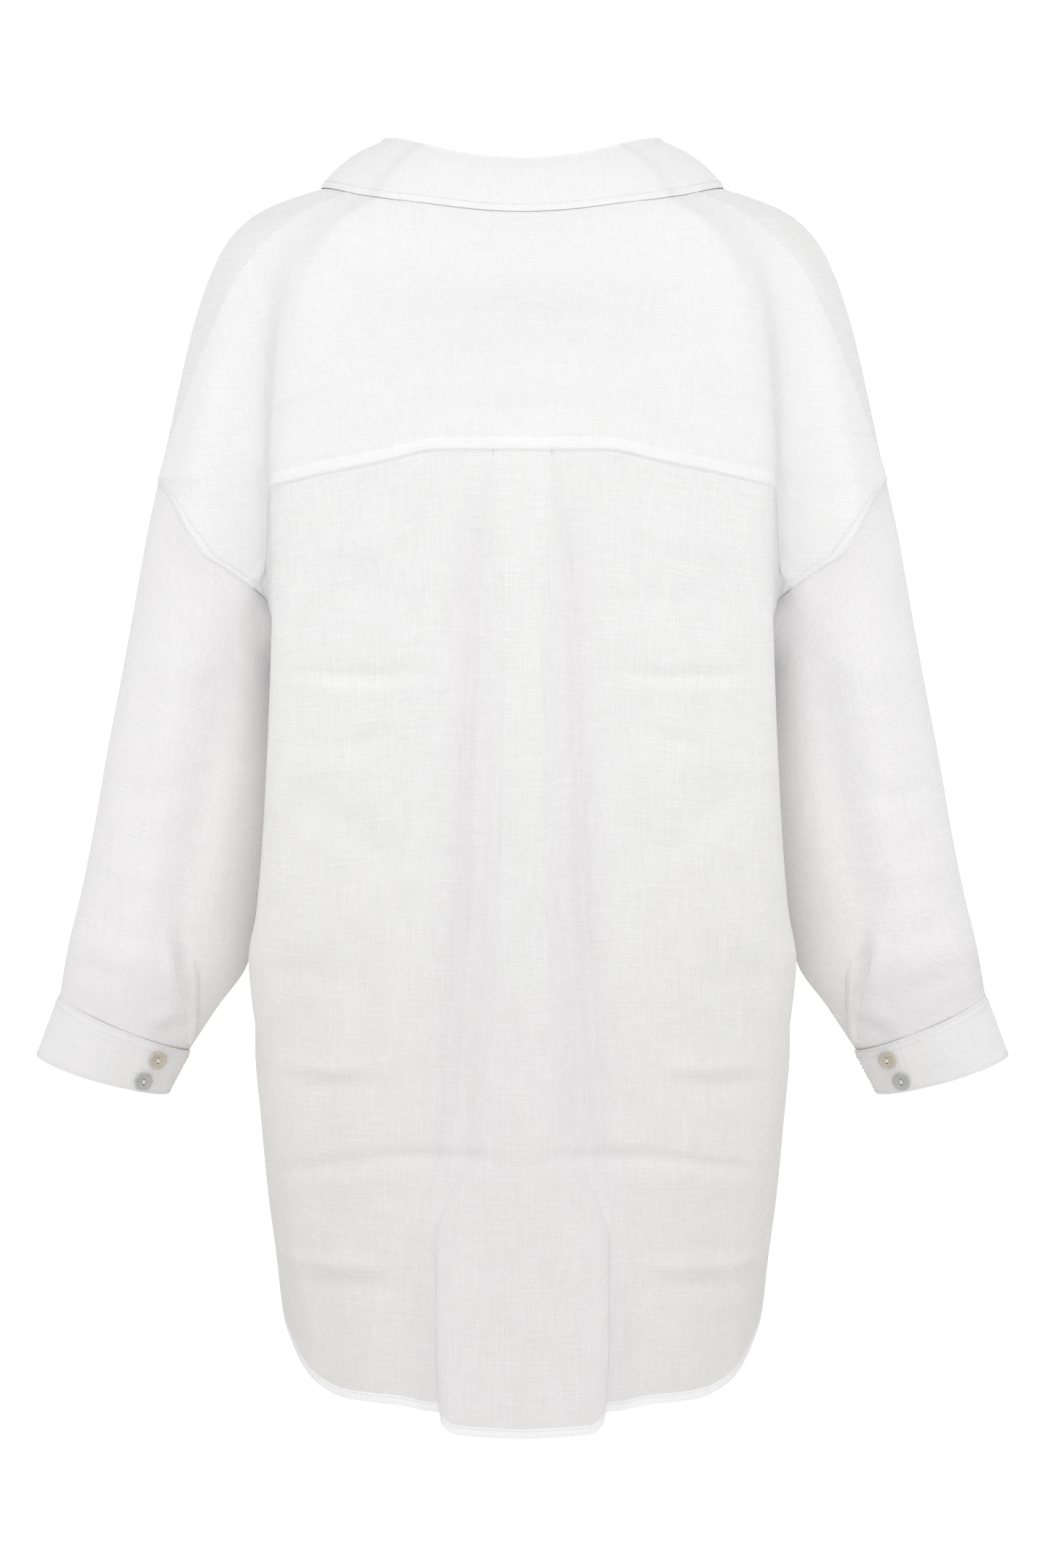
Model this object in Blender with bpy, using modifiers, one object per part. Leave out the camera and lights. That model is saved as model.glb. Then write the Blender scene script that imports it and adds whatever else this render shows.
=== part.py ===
"""Tunic top: a long linen shirt, filled out as if worn, with its back towards -Y.

Metres, +Z up. The origin is between the shoulders, level with the collar's corners.
The tables below are in millimetres. A torso point has two numbers: "round", which runs from
0 at the centre back over the shoulder or side at 1 to 2 at the centre front, and "level",
which runs down the cloth and is the depth below the origin from the shoulder blades down.
"""
import math

import bmesh
import bpy
import numpy as np

MM = 0.001

# Cloth walls, in metres
CLOTH_WALL = 0.0014
DOUBLE_WALL = 0.0020
SEAM_HALF_GAP = 0.0002
FOLD_HALF_GAP = 0.0009

# Rows and columns of the sheets
SHOULDER_ROWS = 8
ARMHOLE_ROWS = 5
UNDERARM_ROWS = 3
SIDE_ROWS = 12
UNDERARM_ROW = SHOULDER_ROWS + ARMHOLE_ROWS + UNDERARM_ROWS
FRONT_UNDERARM_LEVEL = 340
SLEEVE_ROWS = 12
CUFF_COLUMNS = 22
CUFF_ROWS = 2
FALL_ROWS = 4

# Where each named point of a section lies round the torso
ROUND_NAMES = ("middle", "panel", "before_fold", "fold", "valley", "arm", "side")
ROUND_AT = (0.0, 0.3, 0.5, 0.56, 0.64, 0.82, 1.0)
FOLD = 0.56
VALLEY = 0.64

# Shoulder line and side: level, height, half width
SIDE_COLUMNS = ("level", "z", "x")
SIDE_SECTIONS = (
    (10, 9, 90), (22, 0, 142), (40, -19, 190), (60, -41, 210), (80, -64, 221), (110, -102, 233),
    (146, -146, 243), (190, -190, 252.5), (240, -240, 265), (276, -276, 270), (290, -290, 174),
    (325, -325, 162), (340, -340, 154), (380, -380, 148), (456, -456, 150), (507, -507, 158),
    (540, -540, 172), (600, -600, 185), (654, -654, 182), (705, -705, 178), (780, -780, 169),
    (880, -880, 163),
)

# Sections of the back and of the front: level, then height and depth at the middle, then the
# fold beside the panel, the valley behind it and the round of the upper arm
HALF_COLUMNS = ("level", "z", "middle_y", "fold_x", "fold_y", "valley_x", "valley_y", "arm_x", "arm_y")
BACK_SECTIONS = (
    (10, -8, -74, 66, -50, 73, -41, 84, -22),
    (22, -22, -104, 108, -76, 118, -64, 134, -36),
    (40, -42, -112, 138, -85, 150, -70, 176, -40),
    (60, -62, -116, 152, -92, 165, -73, 195, -42),
    (80, -82, -118, 161, -97, 173, -74, 205, -46),
    (110, -110, -120, 168, -100, 179, -72, 213, -50),
    (146, -146, -122, 172, -102, 181, -66, 219, -53),
    (190, -190, -124, 175, -103, 182, -60, 224, -55),
    (240, -240, -124, 174, -102, 181, -54, 226, -57),
    (276, -276, -123.5, 174, -100, 179, -51, 228, -57),
    (290, -290, -123, 174, -99, 178, -49, 176, -26),
    (325, -325, -122.5, 175, -97, 168, -50, 161, -25),
    (380, -380, -122, 177, -94, 160, -50, 150, -25),
    (456, -456, -121, 181, -89, 164, -48, 153, -24),
    (507, -507, -120, 185.5, -84, 172, -45, 162, -22),
    (540, -540, -119.5, 191, -76, 184, -42, 176, -20),
    (600, -600, -119, 185, -66, 187.3, -42, 186, -20),
    (654, -654, -118.5, 180, -68, 183, -42, 182.5, -20),
    (705, -705, -118, 173, -70, 178, -43, 178, -21),
    (780, -780, -117.5, 162, -70, 168, -42, 169, -20),
    (880, -880, -117, 150, -66, 160, -42, 163, -20),
)
FRONT_SECTIONS = (
    (10, -60, 70, 66, 45, 73, 38, 84, 20),
    (22, -72, 92, 104, 66, 115, 56, 132, 32),
    (40, -85, 100, 132, 76, 146, 62, 174, 36),
    (60, -98, 106, 146, 84, 160, 66, 193, 38),
    (80, -112, 110, 154, 88, 167, 68, 203, 42),
    (110, -132, 115, 160, 92, 172, 67, 211, 46),
    (146, -158, 119, 164, 95, 175, 63, 217, 50),
    (190, -194, 122, 167, 96, 177, 58, 222, 54),
    (240, -240, 123, 168, 95, 178, 54, 225, 57),
    (276, -276, 123, 168, 94, 177, 52, 227, 58),
    (290, -290, 122, 168, 93, 176, 48, 176, 25),
    (325, -325, 121, 169, 90, 165, 48, 161, 25),
    (380, -380, 120, 170, 86, 157, 48, 150, 25),
    (456, -456, 118, 172, 80, 160, 46, 153, 24),
    (507, -507, 117, 175, 76, 166, 44, 161, 22),
    (540, -540, 116, 178, 72, 174, 42, 173, 20),
    (600, -600, 115, 178, 68, 182, 42, 185, 20),
    (654, -654, 115, 175, 66, 180, 42, 182, 20),
    (705, -705, 114, 170, 66, 176, 42, 178, 20),
    (780, -780, 113, 160, 66, 166, 42, 169, 20),
    (880, -880, 112, 150, 64, 158, 42, 163, 20),
)

# Seams on the torso, each a line through places given as round and level
SHOULDER_SEAM = ((0.70, 10), (0.70, 22), (0.72, 40), (0.76, 60), (0.80, 80), (0.86, 110),
                 (0.92, 146), (0.96, 175), (1.0, 203))
ARMHOLE_UPPER = ((1.0, 203), (0.92, 214), (0.885, 226), (0.85, 242), (0.80, 259), (0.76, 266),
                 (0.73, 273), (0.70, 281))
ARMHOLE_LOWER = ((0.70, 281), (0.73, 297), (0.84, 314), (1.0, 325))
YOKE_EDGE = ((0.0, 187), (0.18, 187), (0.3, 195), (0.5, 209), (0.56, 213), (0.6, 243), (0.64, 268),
             (0.70, 281), (1.4, 281))
V_NECK = ((0.0, 150), (0.06, 115), (0.12, 80), (0.2, 48), (0.3, 24), (0.4, 15), (0.5, 11), (0.64, 10),
          (1.4, 10))
BACK_HEM = ((0.0, 871), (0.07, 868), (0.10, 860), (0.13, 854), (0.17, 852), (0.3, 848), (0.42, 844),
            (0.5, 833), (0.56, 815), (0.64, 790), (1.0, 745))
BACK_TOP = ((0.0, 187), (0.236, 187), (0.3, 195), (0.5, 209), (0.56, 213), (0.6, 243), (0.64, 268),
            (0.70, 281), (1.4, 281))
FRONT_HEM = ((0.0, 800), (0.3, 797), (0.5, 785), (0.56, 774), (0.64, 762), (1.0, 745))
NECK_LEVEL = 10

# Centre box pleat: level, half width of the box, how far it stands out, how far its edge turns
# back under it, and the place and depth of the valley beside it
PLEAT_COLUMNS = ("level", "edge", "height", "turn", "valley_x", "valley_depth")
PLEAT_SECTIONS = (
    (187, 20, 2.2, 0, 23, 0),
    (225, 20, 4.5, 0, 27, 2),
    (290, 20, 6.5, 0, 34, 5),
    (400, 21, 7.5, 0, 39, 7.5),
    (500, 23, 8.5, 0, 43, 8.5),
    (570, 28, 8.5, 0, 48, 8),
    (675, 37, 7.5, 0, 56, 6),
    (705, 50, 6.5, 1, 64, 4),
    (735, 60, 6.5, 2, 71, 2.5),
    (800, 60, 7.5, 4, 70, 2),
    (880, 56, 8.0, 5, 66, 1),
)
PLEAT_AT = (0.0, 0.05, 0.085, 0.105, 0.13, 0.155, 0.175, 0.3)

# Columns across half of each panel, as places on the round before the fold
BACK_PLACES = (0, 0.045, 0.085, 0.096, 0.108, 0.13, 0.149, 0.16, 0.18, 0.24, 0.32, 0.4, 0.46, 0.51)
YOKE_PLACES = (0, 0.09, 0.18, 0.24, 0.32, 0.4, 0.46, 0.51)
FRONT_PLACES = (0, 0.08, 0.16, 0.24, 0.32, 0.4, 0.48)
CLIFF_PLACES = (FOLD, 0.6, VALLEY)
BEYOND_VALLEY = (1 / 3, 2 / 3, 1.0)

# Sleeve sections: share of the way down, outer and inner points seen from behind, depth of the
# middle, half depth, and how far the section drops towards the back
SLEEVE_COLUMNS = ("share", "outer_x", "outer_z", "inner_x", "inner_z", "middle_y", "half_depth", "back_drop")
SLEEVE_SECTIONS = (
    (0.09, 264, -240, 172, -342, 4, 58, 0),
    (0.21, 273, -290, 171, -372, 8, 57, 1),
    (0.34, 283, -345, 170, -408, 10, 56, 2),
    (0.47, 293.6, -400, 172, -444, 13, 55, 3),
    (0.60, 302.5, -451, 178, -482, 16, 54, 4),
    (0.72, 311.5, -495, 186, -518, 19, 52, 5),
    (0.82, 319.5, -527, 194, -546, 22, 49, 6),
    (0.91, 323.5, -548, 214, -574, 25, 41, 6.5),
    (1.00, 326.6, -566.4, 234, -604, 28, 30, 6.5),
)
CUFF_END = (1.00, 342.5, -608.6, 250, -634, 35, 29, 6.5)
CUFF_TURN = 1.1
CUFF_LAP_START = 0.47
CUFF_LAP_OFFSET = 1.7

# Slit strip above the cuff: where its free edge lies, as share down the sleeve and turn round it
PLACKET_EDGE = ((0.80, 0.318), (0.84, 0.334), (0.91, 0.383), (0.96, 0.430), (0.985, 0.452))
PLACKET_WIDTH = 0.044
PLACKET_ROWS = 6
PLACKET_COLUMNS = 4
PLACKET_LIFT = 0.0027

# Buttons on the cuff: turn round it and share of the way down it
BUTTON_PLACES = {"upper": (0.350, 0.28), "lower": (0.340, 0.76)}
BUTTON_RADIUS = 0.00635
BUTTON_HEIGHT = 0.0024
BUTTON_CLEARANCE = 0.0006
BUTTON_STEPS = 14

# Half a button's outline from its middle: shares of its radius and of its height
BUTTON_PROFILE = ((0, 0), (0.78, 0), (0.97, 0.35), (1.0, 0.6), (0.93, 0.95), (0.78, 1.0), (0.62, 0.8),
                  (0, 0.75))

# Collar stations from the centre back to the front end: place of the neck seam, the fold line
# from the neck seam, and place of the turned-down edge on the cloth below
COLLAR_NAMES = ("neck_round", "fold_dx", "fold_dy", "fold_dz", "edge_round", "edge_level")
COLLAR_STATIONS = (
    (0.0, 0, 6, 27, 0.0, 21),
    (0.3, 3, 6, 27, 0.31, 21),
    (0.6, 7, 5, 29, 0.62, 22),
    (0.95, 8, 3, 27, 0.92, 22),
    (1.25, 6, 6, 23, 1.2, 23),
    (1.5, 1, 10, 20, 1.43, 32),
    (1.7, -3, 11, 13, 1.62, 62),
    (1.88, -4, 10, 7, 1.74, 110),
    (1.98, -1, 9, 4, 1.82, 150),
)
FALL_CLEARANCE = 0.0034
FALL_CROWN = 0.0045
FALL_TUCK = 0.0015
STAND_FOOT_GAP = 0.0018
STAND_HEAD_GAP = 0.0026

LINEN = (0.86, 0.855, 0.85)
SHELL_CREAM = (0.78, 0.74, 0.66)
SHELL_GREY = (0.62, 0.66, 0.68)


def unit(vectors):
    """The vectors at length one."""
    return vectors / np.linalg.norm(vectors, axis=-1, keepdims=True)


def clear_scene():
    """Removes whatever objects the file holds."""
    for item in list(bpy.data.objects):
        bpy.data.objects.remove(item, do_unlink=True)


def smooth(knots, values, at, end=1.0):
    """A curve through the values that never overshoots them; end scales its end slopes."""
    knots = np.asarray(knots, float)
    values = np.asarray(values, float)
    at = np.clip(np.asarray(at, float), knots[0], knots[-1])
    values = np.broadcast_to(values, at.shape + values.shape[-1:])
    width = np.diff(knots)
    rise = np.diff(values, axis=-1) / width
    before, after = rise[..., :-1], rise[..., 1:]
    same_way = before * after > 0
    inner = np.where(same_way, 2 * before * after / np.where(same_way, before + after, 1), 0)
    slope = np.concatenate([end * rise[..., :1], inner, end * rise[..., -1:]], axis=-1)
    index = np.clip(np.searchsorted(knots, at, side="right") - 1, 0, len(knots) - 2)

    def pick(array, shift=0):
        return np.take_along_axis(array, (index + shift)[..., None], axis=-1)[..., 0]

    step = width[index]
    t = (at - knots[index]) / step
    return (pick(values) * (1 + 2 * t) * (1 - t) ** 2 + pick(slope) * step * t * (1 - t) ** 2
            + pick(values, 1) * t * t * (3 - 2 * t) - pick(slope, 1) * step * t * t * (1 - t))


def column(table, names, name, level):
    """One named column of a table, read at the given levels."""
    rows = np.asarray(table, float)
    return smooth(rows[:, 0], rows[:, names.index(name)], level)


def half_section(table, level):
    """Names each point of half a section and gives its x and y, in millimetres."""
    def read(name):
        return column(table, HALF_COLUMNS, name, level)

    fold_x, fold_y, middle_y = read("fold_x"), read("fold_y"), read("middle_y")
    return {
        "middle": (0 * fold_x, middle_y),
        "panel": (0.55 * fold_x, middle_y + 0.07 * (fold_y - middle_y)),
        "before_fold": (0.925 * fold_x, middle_y + 0.52 * (fold_y - middle_y)),
        "fold": (fold_x, fold_y),
        "valley": (read("valley_x"), read("valley_y")),
        "arm": (read("arm_x"), read("arm_y")),
        "side": (column(SIDE_SECTIONS, SIDE_COLUMNS, "x", level), 0 * fold_x),
    }


def torso(round_at, level):
    """Points of the filled-out torso cloth, in metres."""
    round_at, level = np.broadcast_arrays(np.asarray(round_at, float), np.asarray(level, float))
    back = half_section(BACK_SECTIONS, level)
    front = half_section(FRONT_SECTIONS, level)
    points = [back[name] for name in ROUND_NAMES]
    points += [front[name] for name in reversed(ROUND_NAMES[:-1])]
    knots = ROUND_AT + tuple(2 - place for place in reversed(ROUND_AT[:-1]))
    x = smooth(knots, np.stack([point[0] for point in points], axis=-1), round_at)
    y = smooth(knots, np.stack([point[1] for point in points], axis=-1), round_at, end=0)
    side_z = column(SIDE_SECTIONS, SIDE_COLUMNS, "z", level)
    back_z = column(BACK_SECTIONS, HALF_COLUMNS, "z", level)
    front_z = column(FRONT_SECTIONS, HALF_COLUMNS, "z", level)
    middle_z = np.where(round_at < 1, back_z, front_z)
    near = np.where(round_at < 1, round_at, 2 - round_at)
    z = middle_z + (side_z - middle_z) * near * near * (3 - 2 * near)
    return np.stack([x, y, z], axis=-1) * MM


def pleated_back(round_at, level):
    """Points of the back panel: the torso's back with the box pleat let into its middle."""
    points = torso(round_at, level)

    def read(name):
        return column(PLEAT_SECTIONS, PLEAT_COLUMNS, name, level)

    edge, height, turn = read("edge"), read("height"), read("turn")
    valley_x, valley_depth = read("valley_x"), read("valley_depth")
    end_x = torso(np.full_like(round_at, PLEAT_AT[-1]), level)[..., 0] / MM
    turned = edge - turn
    across = (0 * edge, 0.6 * edge, edge - 1.5, edge, turned, 0.5 * (turned + valley_x) - 0.4 * turn,
              valley_x, end_x)
    stands = (height, height, height, 0.78 * height, 0.5 * height, 0.0 * height, -valley_depth, 0 * height)
    x = smooth(PLEAT_AT, np.stack(across, axis=-1), round_at)
    out = smooth(PLEAT_AT, np.stack(stands, axis=-1), round_at, end=0)
    inside = round_at < PLEAT_AT[-1]
    flat = torso(np.clip(x / end_x, 0, 1) * PLEAT_AT[-1], level)
    points[..., 0] = np.where(inside, x * MM, points[..., 0])
    points[..., 1] = np.where(inside, flat[..., 1] - out * MM, points[..., 1])
    return points


def along(line, count):
    """Places at even steps along a line of rounds and levels, as two arrays of count + 1."""
    places = np.asarray(line, float)
    at = np.linspace(0, len(places) - 1, count + 1)
    index = np.arange(len(places))
    return smooth(index, places[:, 0], at), smooth(index, places[:, 1], at)


def seam_level(line, round_at):
    """The level of a seam at each place round the torso."""
    places = np.asarray(line, float)
    return smooth(places[:, 0], places[:, 1], round_at)


def all_places(places, out_round):
    """The columns of half a panel, from its middle out to its outer edge."""
    beyond = VALLEY + (out_round - VALLEY) * np.asarray(BEYOND_VALLEY)
    return np.concatenate([places, CLIFF_PLACES, beyond])


def panel(surface, places, outer, middle_levels, first, last, to_round):
    """A grid of points over half a panel, a row for each outer place, from the middle outwards."""
    outer_round, outer_level = outer
    rows = []
    for out_round, out_level, middle_level in zip(outer_round, outer_level, middle_levels):
        places_round = all_places(places, out_round)
        begin, finish = seam_level(first, places_round), seam_level(last, places_round)
        at_middle = (middle_level - begin[0]) / (finish[0] - begin[0])
        at_outer = (out_level - begin[-1]) / (finish[-1] - begin[-1])
        share = np.minimum(places_round / FOLD, 1) ** 1.5
        level = begin + (finish - begin) * (at_middle * (1 - share) + at_outer * share)
        rows.append(surface(to_round(places_round), level))
    return np.stack(rows)


def outer_edge(grid, first, last):
    """An edge as its grid, the places of its points and the places just inside them."""
    rows = np.arange(first, last + 1)
    return grid, (rows, np.full_like(rows, -1)), (rows, np.full_like(rows, -2))


def row_edge(grid, columns, row, inner_row):
    """A stretch of a first or last row as an edge."""
    columns = np.asarray(columns)
    return grid, (np.full_like(columns, row), columns), (np.full_like(columns, inner_row), columns)


def square_way(edge):
    """Unit ways from an edge into its cloth, square to the edge."""
    grid, at, inside = edge
    along_edge = unit(np.gradient(grid[at], axis=0))
    way = grid[inside] - grid[at]
    return unit(way - along_edge * np.sum(way * along_edge, axis=-1, keepdims=True))


def draw_apart(seams, half_gap):
    """Draws both edges of each seam back, further where the cloths turn over at the seam, so
    that the corners of their walls keep apart."""
    moves = []
    for one, other in seams:
        way_one, way_other = square_way(one), square_way(other)
        half_angle = 0.5 * np.arccos(np.clip(np.sum(way_one * way_other, axis=-1), -1, 1))
        gap = (half_gap + 0.5 * DOUBLE_WALL / np.tan(half_angle))[:, None]
        moves += [(one, way_one * gap), (other, way_other * gap)]
    for (grid, at, _), move in moves:
        grid[at] += move


def yoke_grid():
    shoulder = along(SHOULDER_SEAM, SHOULDER_ROWS)
    armhole = along(ARMHOLE_UPPER, ARMHOLE_ROWS)
    outer = tuple(np.concatenate([shoulder[k], armhole[k][1:]]) for k in range(2))
    middle = np.linspace(NECK_LEVEL, YOKE_EDGE[0][1], len(outer[0]))
    neck = ((0.0, NECK_LEVEL), (1.4, NECK_LEVEL))
    return panel(torso, YOKE_PLACES, outer, middle, neck, YOKE_EDGE, lambda place: place)


def back_grid():
    armhole = along(ARMHOLE_LOWER, UNDERARM_ROWS)
    side_levels = np.linspace(armhole[1][-1], BACK_HEM[-1][1], SIDE_ROWS + 1)[1:]
    outer = (np.concatenate([armhole[0], np.ones(SIDE_ROWS)]), np.concatenate([armhole[1], side_levels]))
    middle = np.linspace(YOKE_EDGE[0][1], BACK_HEM[0][1], len(outer[0]))
    return panel(pleated_back, BACK_PLACES, outer, middle, BACK_TOP, BACK_HEM, lambda place: place)


def front_grid():
    shoulder = along(SHOULDER_SEAM, SHOULDER_ROWS)
    upper, lower = along(ARMHOLE_UPPER, ARMHOLE_ROWS), along(ARMHOLE_LOWER, UNDERARM_ROWS)
    side_levels = np.linspace(lower[1][-1], FRONT_HEM[-1][1], SIDE_ROWS + 1)[1:]
    outer_round = np.concatenate([2 - shoulder[0], upper[0][1:], lower[0][1:], np.ones(SIDE_ROWS)])
    outer_level = np.concatenate([shoulder[1], upper[1][1:], lower[1][1:], side_levels])
    middle = np.concatenate([np.linspace(V_NECK[0][1], FRONT_UNDERARM_LEVEL, UNDERARM_ROW + 1),
                             np.linspace(FRONT_UNDERARM_LEVEL, FRONT_HEM[0][1], SIDE_ROWS + 1)[1:]])
    return panel(torso, FRONT_PLACES, (outer_round, outer_level), middle, V_NECK, FRONT_HEM,
                 lambda place: 2 - place)


def sew(yoke, back, front, sleeve):
    """Parts the pieces along the seams that they share."""
    neck_to_tip, underarm = SHOULDER_ROWS, ARMHOLE_ROWS + UNDERARM_ROWS
    loop_end = 2 * underarm
    front_loop = np.arange(loop_end, underarm - 1, -1) % loop_end
    side_columns = np.arange(-len(CLIFF_PLACES) - len(BEYOND_VALLEY), 0)
    draw_apart((
        (outer_edge(yoke, 0, neck_to_tip), outer_edge(front, 0, neck_to_tip)),
        (outer_edge(yoke, neck_to_tip, neck_to_tip + ARMHOLE_ROWS),
         row_edge(sleeve, np.arange(ARMHOLE_ROWS + 1), 0, 1)),
        (outer_edge(back, 0, UNDERARM_ROWS), row_edge(sleeve, np.arange(ARMHOLE_ROWS, underarm + 1), 0, 1)),
        (outer_edge(front, neck_to_tip, UNDERARM_ROW), row_edge(sleeve, front_loop, 0, 1)),
        (outer_edge(back, UNDERARM_ROWS, UNDERARM_ROWS + SIDE_ROWS),
         outer_edge(front, UNDERARM_ROW, UNDERARM_ROW + SIDE_ROWS)),
    ), SEAM_HALF_GAP)
    behind_fold = (row_edge(yoke, side_columns, -1, -2), row_edge(back, side_columns, 0, 1))
    draw_apart((behind_fold,), FOLD_HALF_GAP)
    yoke[-1, :side_columns[0], 2] += SEAM_HALF_GAP
    back[0, :side_columns[0], 2] -= SEAM_HALF_GAP
    sleeve[-1, :, 2] += SEAM_HALF_GAP


def armhole_loop():
    """The armhole seam from the shoulder point down the back, under the arm and up the front."""
    upper, lower = along(ARMHOLE_UPPER, ARMHOLE_ROWS), along(ARMHOLE_LOWER, UNDERARM_ROWS)
    round_at = np.concatenate([upper[0], lower[0][1:]])
    level = np.concatenate([upper[1], lower[1][1:]])
    back = torso(round_at, level)
    front = torso(2 - round_at, level)
    return np.concatenate([back, front[-2:0:-1]])


def turn_places(loop):
    """Where each armhole point lies round the sleeve: 0 outside, 0.25 behind, 0.5 inside."""
    closed = np.concatenate([loop, loop[:1]])
    run = np.concatenate([[0], np.cumsum(np.linalg.norm(np.diff(closed, axis=0), axis=1))])
    half = ARMHOLE_ROWS + UNDERARM_ROWS
    back = 0.5 * run[:half + 1] / run[half]
    front = 0.5 + 0.5 * (run[half + 1:-1] - run[half]) / (run[-1] - run[half])
    return np.concatenate([back, front])


def arm_section(section, turn, offset=0.0):
    """Points round one section of the sleeve or cuff, moved out by an offset in millimetres."""
    _, outer_x, outer_z, inner_x, inner_z, middle_y, half_depth, back_drop = section
    centre = np.array(((outer_x + inner_x) / 2, middle_y, (outer_z + inner_z) / 2))
    across = np.array(((outer_x - inner_x) / 2, 0, (outer_z - inner_z) / 2))
    behind = np.array((0, -half_depth, -back_drop))
    wide, deep = np.linalg.norm(across), np.linalg.norm(behind)
    angle = 2 * math.pi * np.asarray(turn)
    offset = np.broadcast_to(offset, angle.shape)
    out = np.cos(angle)[..., None] * across * (1 + offset / wide)[..., None]
    out = out + np.sin(angle)[..., None] * behind * (1 + offset / deep)[..., None]
    return (centre + out) * MM


def sleeve_points(loop, turn, down):
    """Sleeve points for each armhole place and each share of the way down."""
    sections = np.stack([loop] + [arm_section(section, turn) for section in SLEEVE_SECTIONS], axis=-1)
    stations = [0.0] + [section[0] for section in SLEEVE_SECTIONS]
    rows = [smooth(stations, sections, np.full(sections.shape[:-1], share)) for share in down]
    return np.stack(rows)


def sleeve_grid():
    loop = armhole_loop()
    return sleeve_points(loop, turn_places(loop), np.linspace(0, 1, SLEEVE_ROWS + 1))


def cuff_points(turn, down):
    """Cuff points: a band that winds once round and laps under its own end."""
    share = (CUFF_LAP_START - turn) / CUFF_TURN
    offset = CUFF_LAP_OFFSET * (1 - 2 * share)
    start = arm_section(SLEEVE_SECTIONS[-1], turn, offset)
    end = arm_section(CUFF_END, turn, offset)
    return start + (end - start) * np.asarray(down)[..., None]


def cuff_grid():
    turn = np.linspace(CUFF_LAP_START, CUFF_LAP_START - CUFF_TURN, CUFF_COLUMNS + 1)
    grid = np.stack([cuff_points(turn, share) for share in np.linspace(0, 1, CUFF_ROWS + 1)])
    grid[0, :, 2] -= 3 * SEAM_HALF_GAP
    return grid


def placket_grid():
    """The strip beside the slit, on the sleeve's points and moved out."""
    sleeve, turn = sleeve_grid(), turn_places(armhole_loop())
    half = turn <= 0.5
    edge = np.asarray(PLACKET_EDGE)
    rows = []
    for share in np.linspace(edge[0, 0], edge[-1, 0], PLACKET_ROWS + 1):
        row = min(int(share * SLEEVE_ROWS), SLEEVE_ROWS - 1)
        ring = sleeve[row] + (sleeve[row + 1] - sleeve[row]) * (share * SLEEVE_ROWS - row)
        at = smooth(edge[:, 0], edge[:, 1], share) - np.linspace(PLACKET_WIDTH, 0, PLACKET_COLUMNS + 1)
        strip = np.stack([np.interp(at, turn[half], ring[half, axis]) for axis in range(3)], axis=-1)
        rows.append(strip)
    grid = np.stack(rows)
    return grid + normals(grid) * PLACKET_LIFT


def normals(grid):
    """Unit normals of a grid, pointing away from the sleeve's middle or the torso's."""
    across = np.gradient(grid, axis=1)
    down = np.gradient(grid, axis=0)
    return unit(np.cross(across, down))


def neck_rounds():
    """Places round the neck seam, the same as the points of the yoke and the front on it."""
    seam = SHOULDER_SEAM[0][0]
    yoke = all_places(YOKE_PLACES, seam)
    front = 2 - all_places(FRONT_PLACES, 2 - seam)
    return np.concatenate([yoke, front[-2:0:-1], [COLLAR_STATIONS[-1][0]]])


def collar_lines():
    """The neck seam, fold line and turned-down edge of half the collar."""
    rounds = neck_rounds()

    def read(name):
        return column(COLLAR_STATIONS, COLLAR_NAMES, name, rounds)

    neck_level = np.where(rounds < 1, NECK_LEVEL, seam_level(V_NECK, 2 - rounds))
    neck = torso(rounds, neck_level)
    fold = neck + np.stack([read("fold_dx"), read("fold_dy"), read("fold_dz")], axis=-1) * MM
    edge_round, edge_level = read("edge_round"), read("edge_level")
    edge = torso(edge_round, edge_level)
    across = torso(edge_round + 0.01, edge_level) - torso(edge_round - 0.01, edge_level)
    down = torso(edge_round, edge_level + 1) - torso(edge_round, edge_level - 1)
    return neck, fold, edge + unit(np.cross(down, across)) * FALL_CLEARANCE


def stand_grid():
    neck, fold, _ = collar_lines()
    way = unit(fold - neck)
    foot = neck + way * STAND_FOOT_GAP
    head = fold - way * STAND_HEAD_GAP
    return np.stack([foot, 0.5 * (foot + head), head])


def fall_grid():
    neck, fold, edge = collar_lines()
    rise = unit(fold - neck)
    rows = [fold + unit(fold - edge) * FALL_TUCK]
    for share in np.linspace(0, 1, FALL_ROWS + 1):
        crown = 4 * share * (1 - share) * FALL_CROWN
        rows.append(fold + (edge - fold) * share + rise * crown)
    return np.stack(rows)


def make_material(name, colour, roughness):
    material = bpy.data.materials.new(name)
    material.use_nodes = True
    shader = material.node_tree.nodes["Principled BSDF"]
    shader.inputs["Base Color"].default_value = (*colour, 1)
    shader.inputs["Roughness"].default_value = roughness
    shader.inputs["Metallic"].default_value = 0
    return material


def add_object(name, mesh, collection, colour, roughness):
    mesh.materials.append(make_material(name + "_material", colour, roughness))
    item = bpy.data.objects.new(name, mesh)
    collection.objects.link(item)
    return item


def sheet_mesh(name, grid, closed=False, flipped=False):
    """A sheet of quads over a grid of points; closed joins its last column to its first."""
    rows, columns = grid.shape[:2]
    mesh_builder = bmesh.new()
    points = [[mesh_builder.verts.new(grid[i, j]) for j in range(columns)] for i in range(rows)]
    for i in range(rows - 1):
        for j in range(columns if closed else columns - 1):
            after = (j + 1) % columns
            corners = (points[i][j], points[i + 1][j], points[i + 1][after], points[i][after])
            mesh_builder.faces.new(corners[::-1] if flipped else corners)
    mesh = bpy.data.meshes.new(name)
    mesh_builder.to_mesh(mesh)
    mesh_builder.free()
    mesh.shade_smooth()
    return mesh


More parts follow.
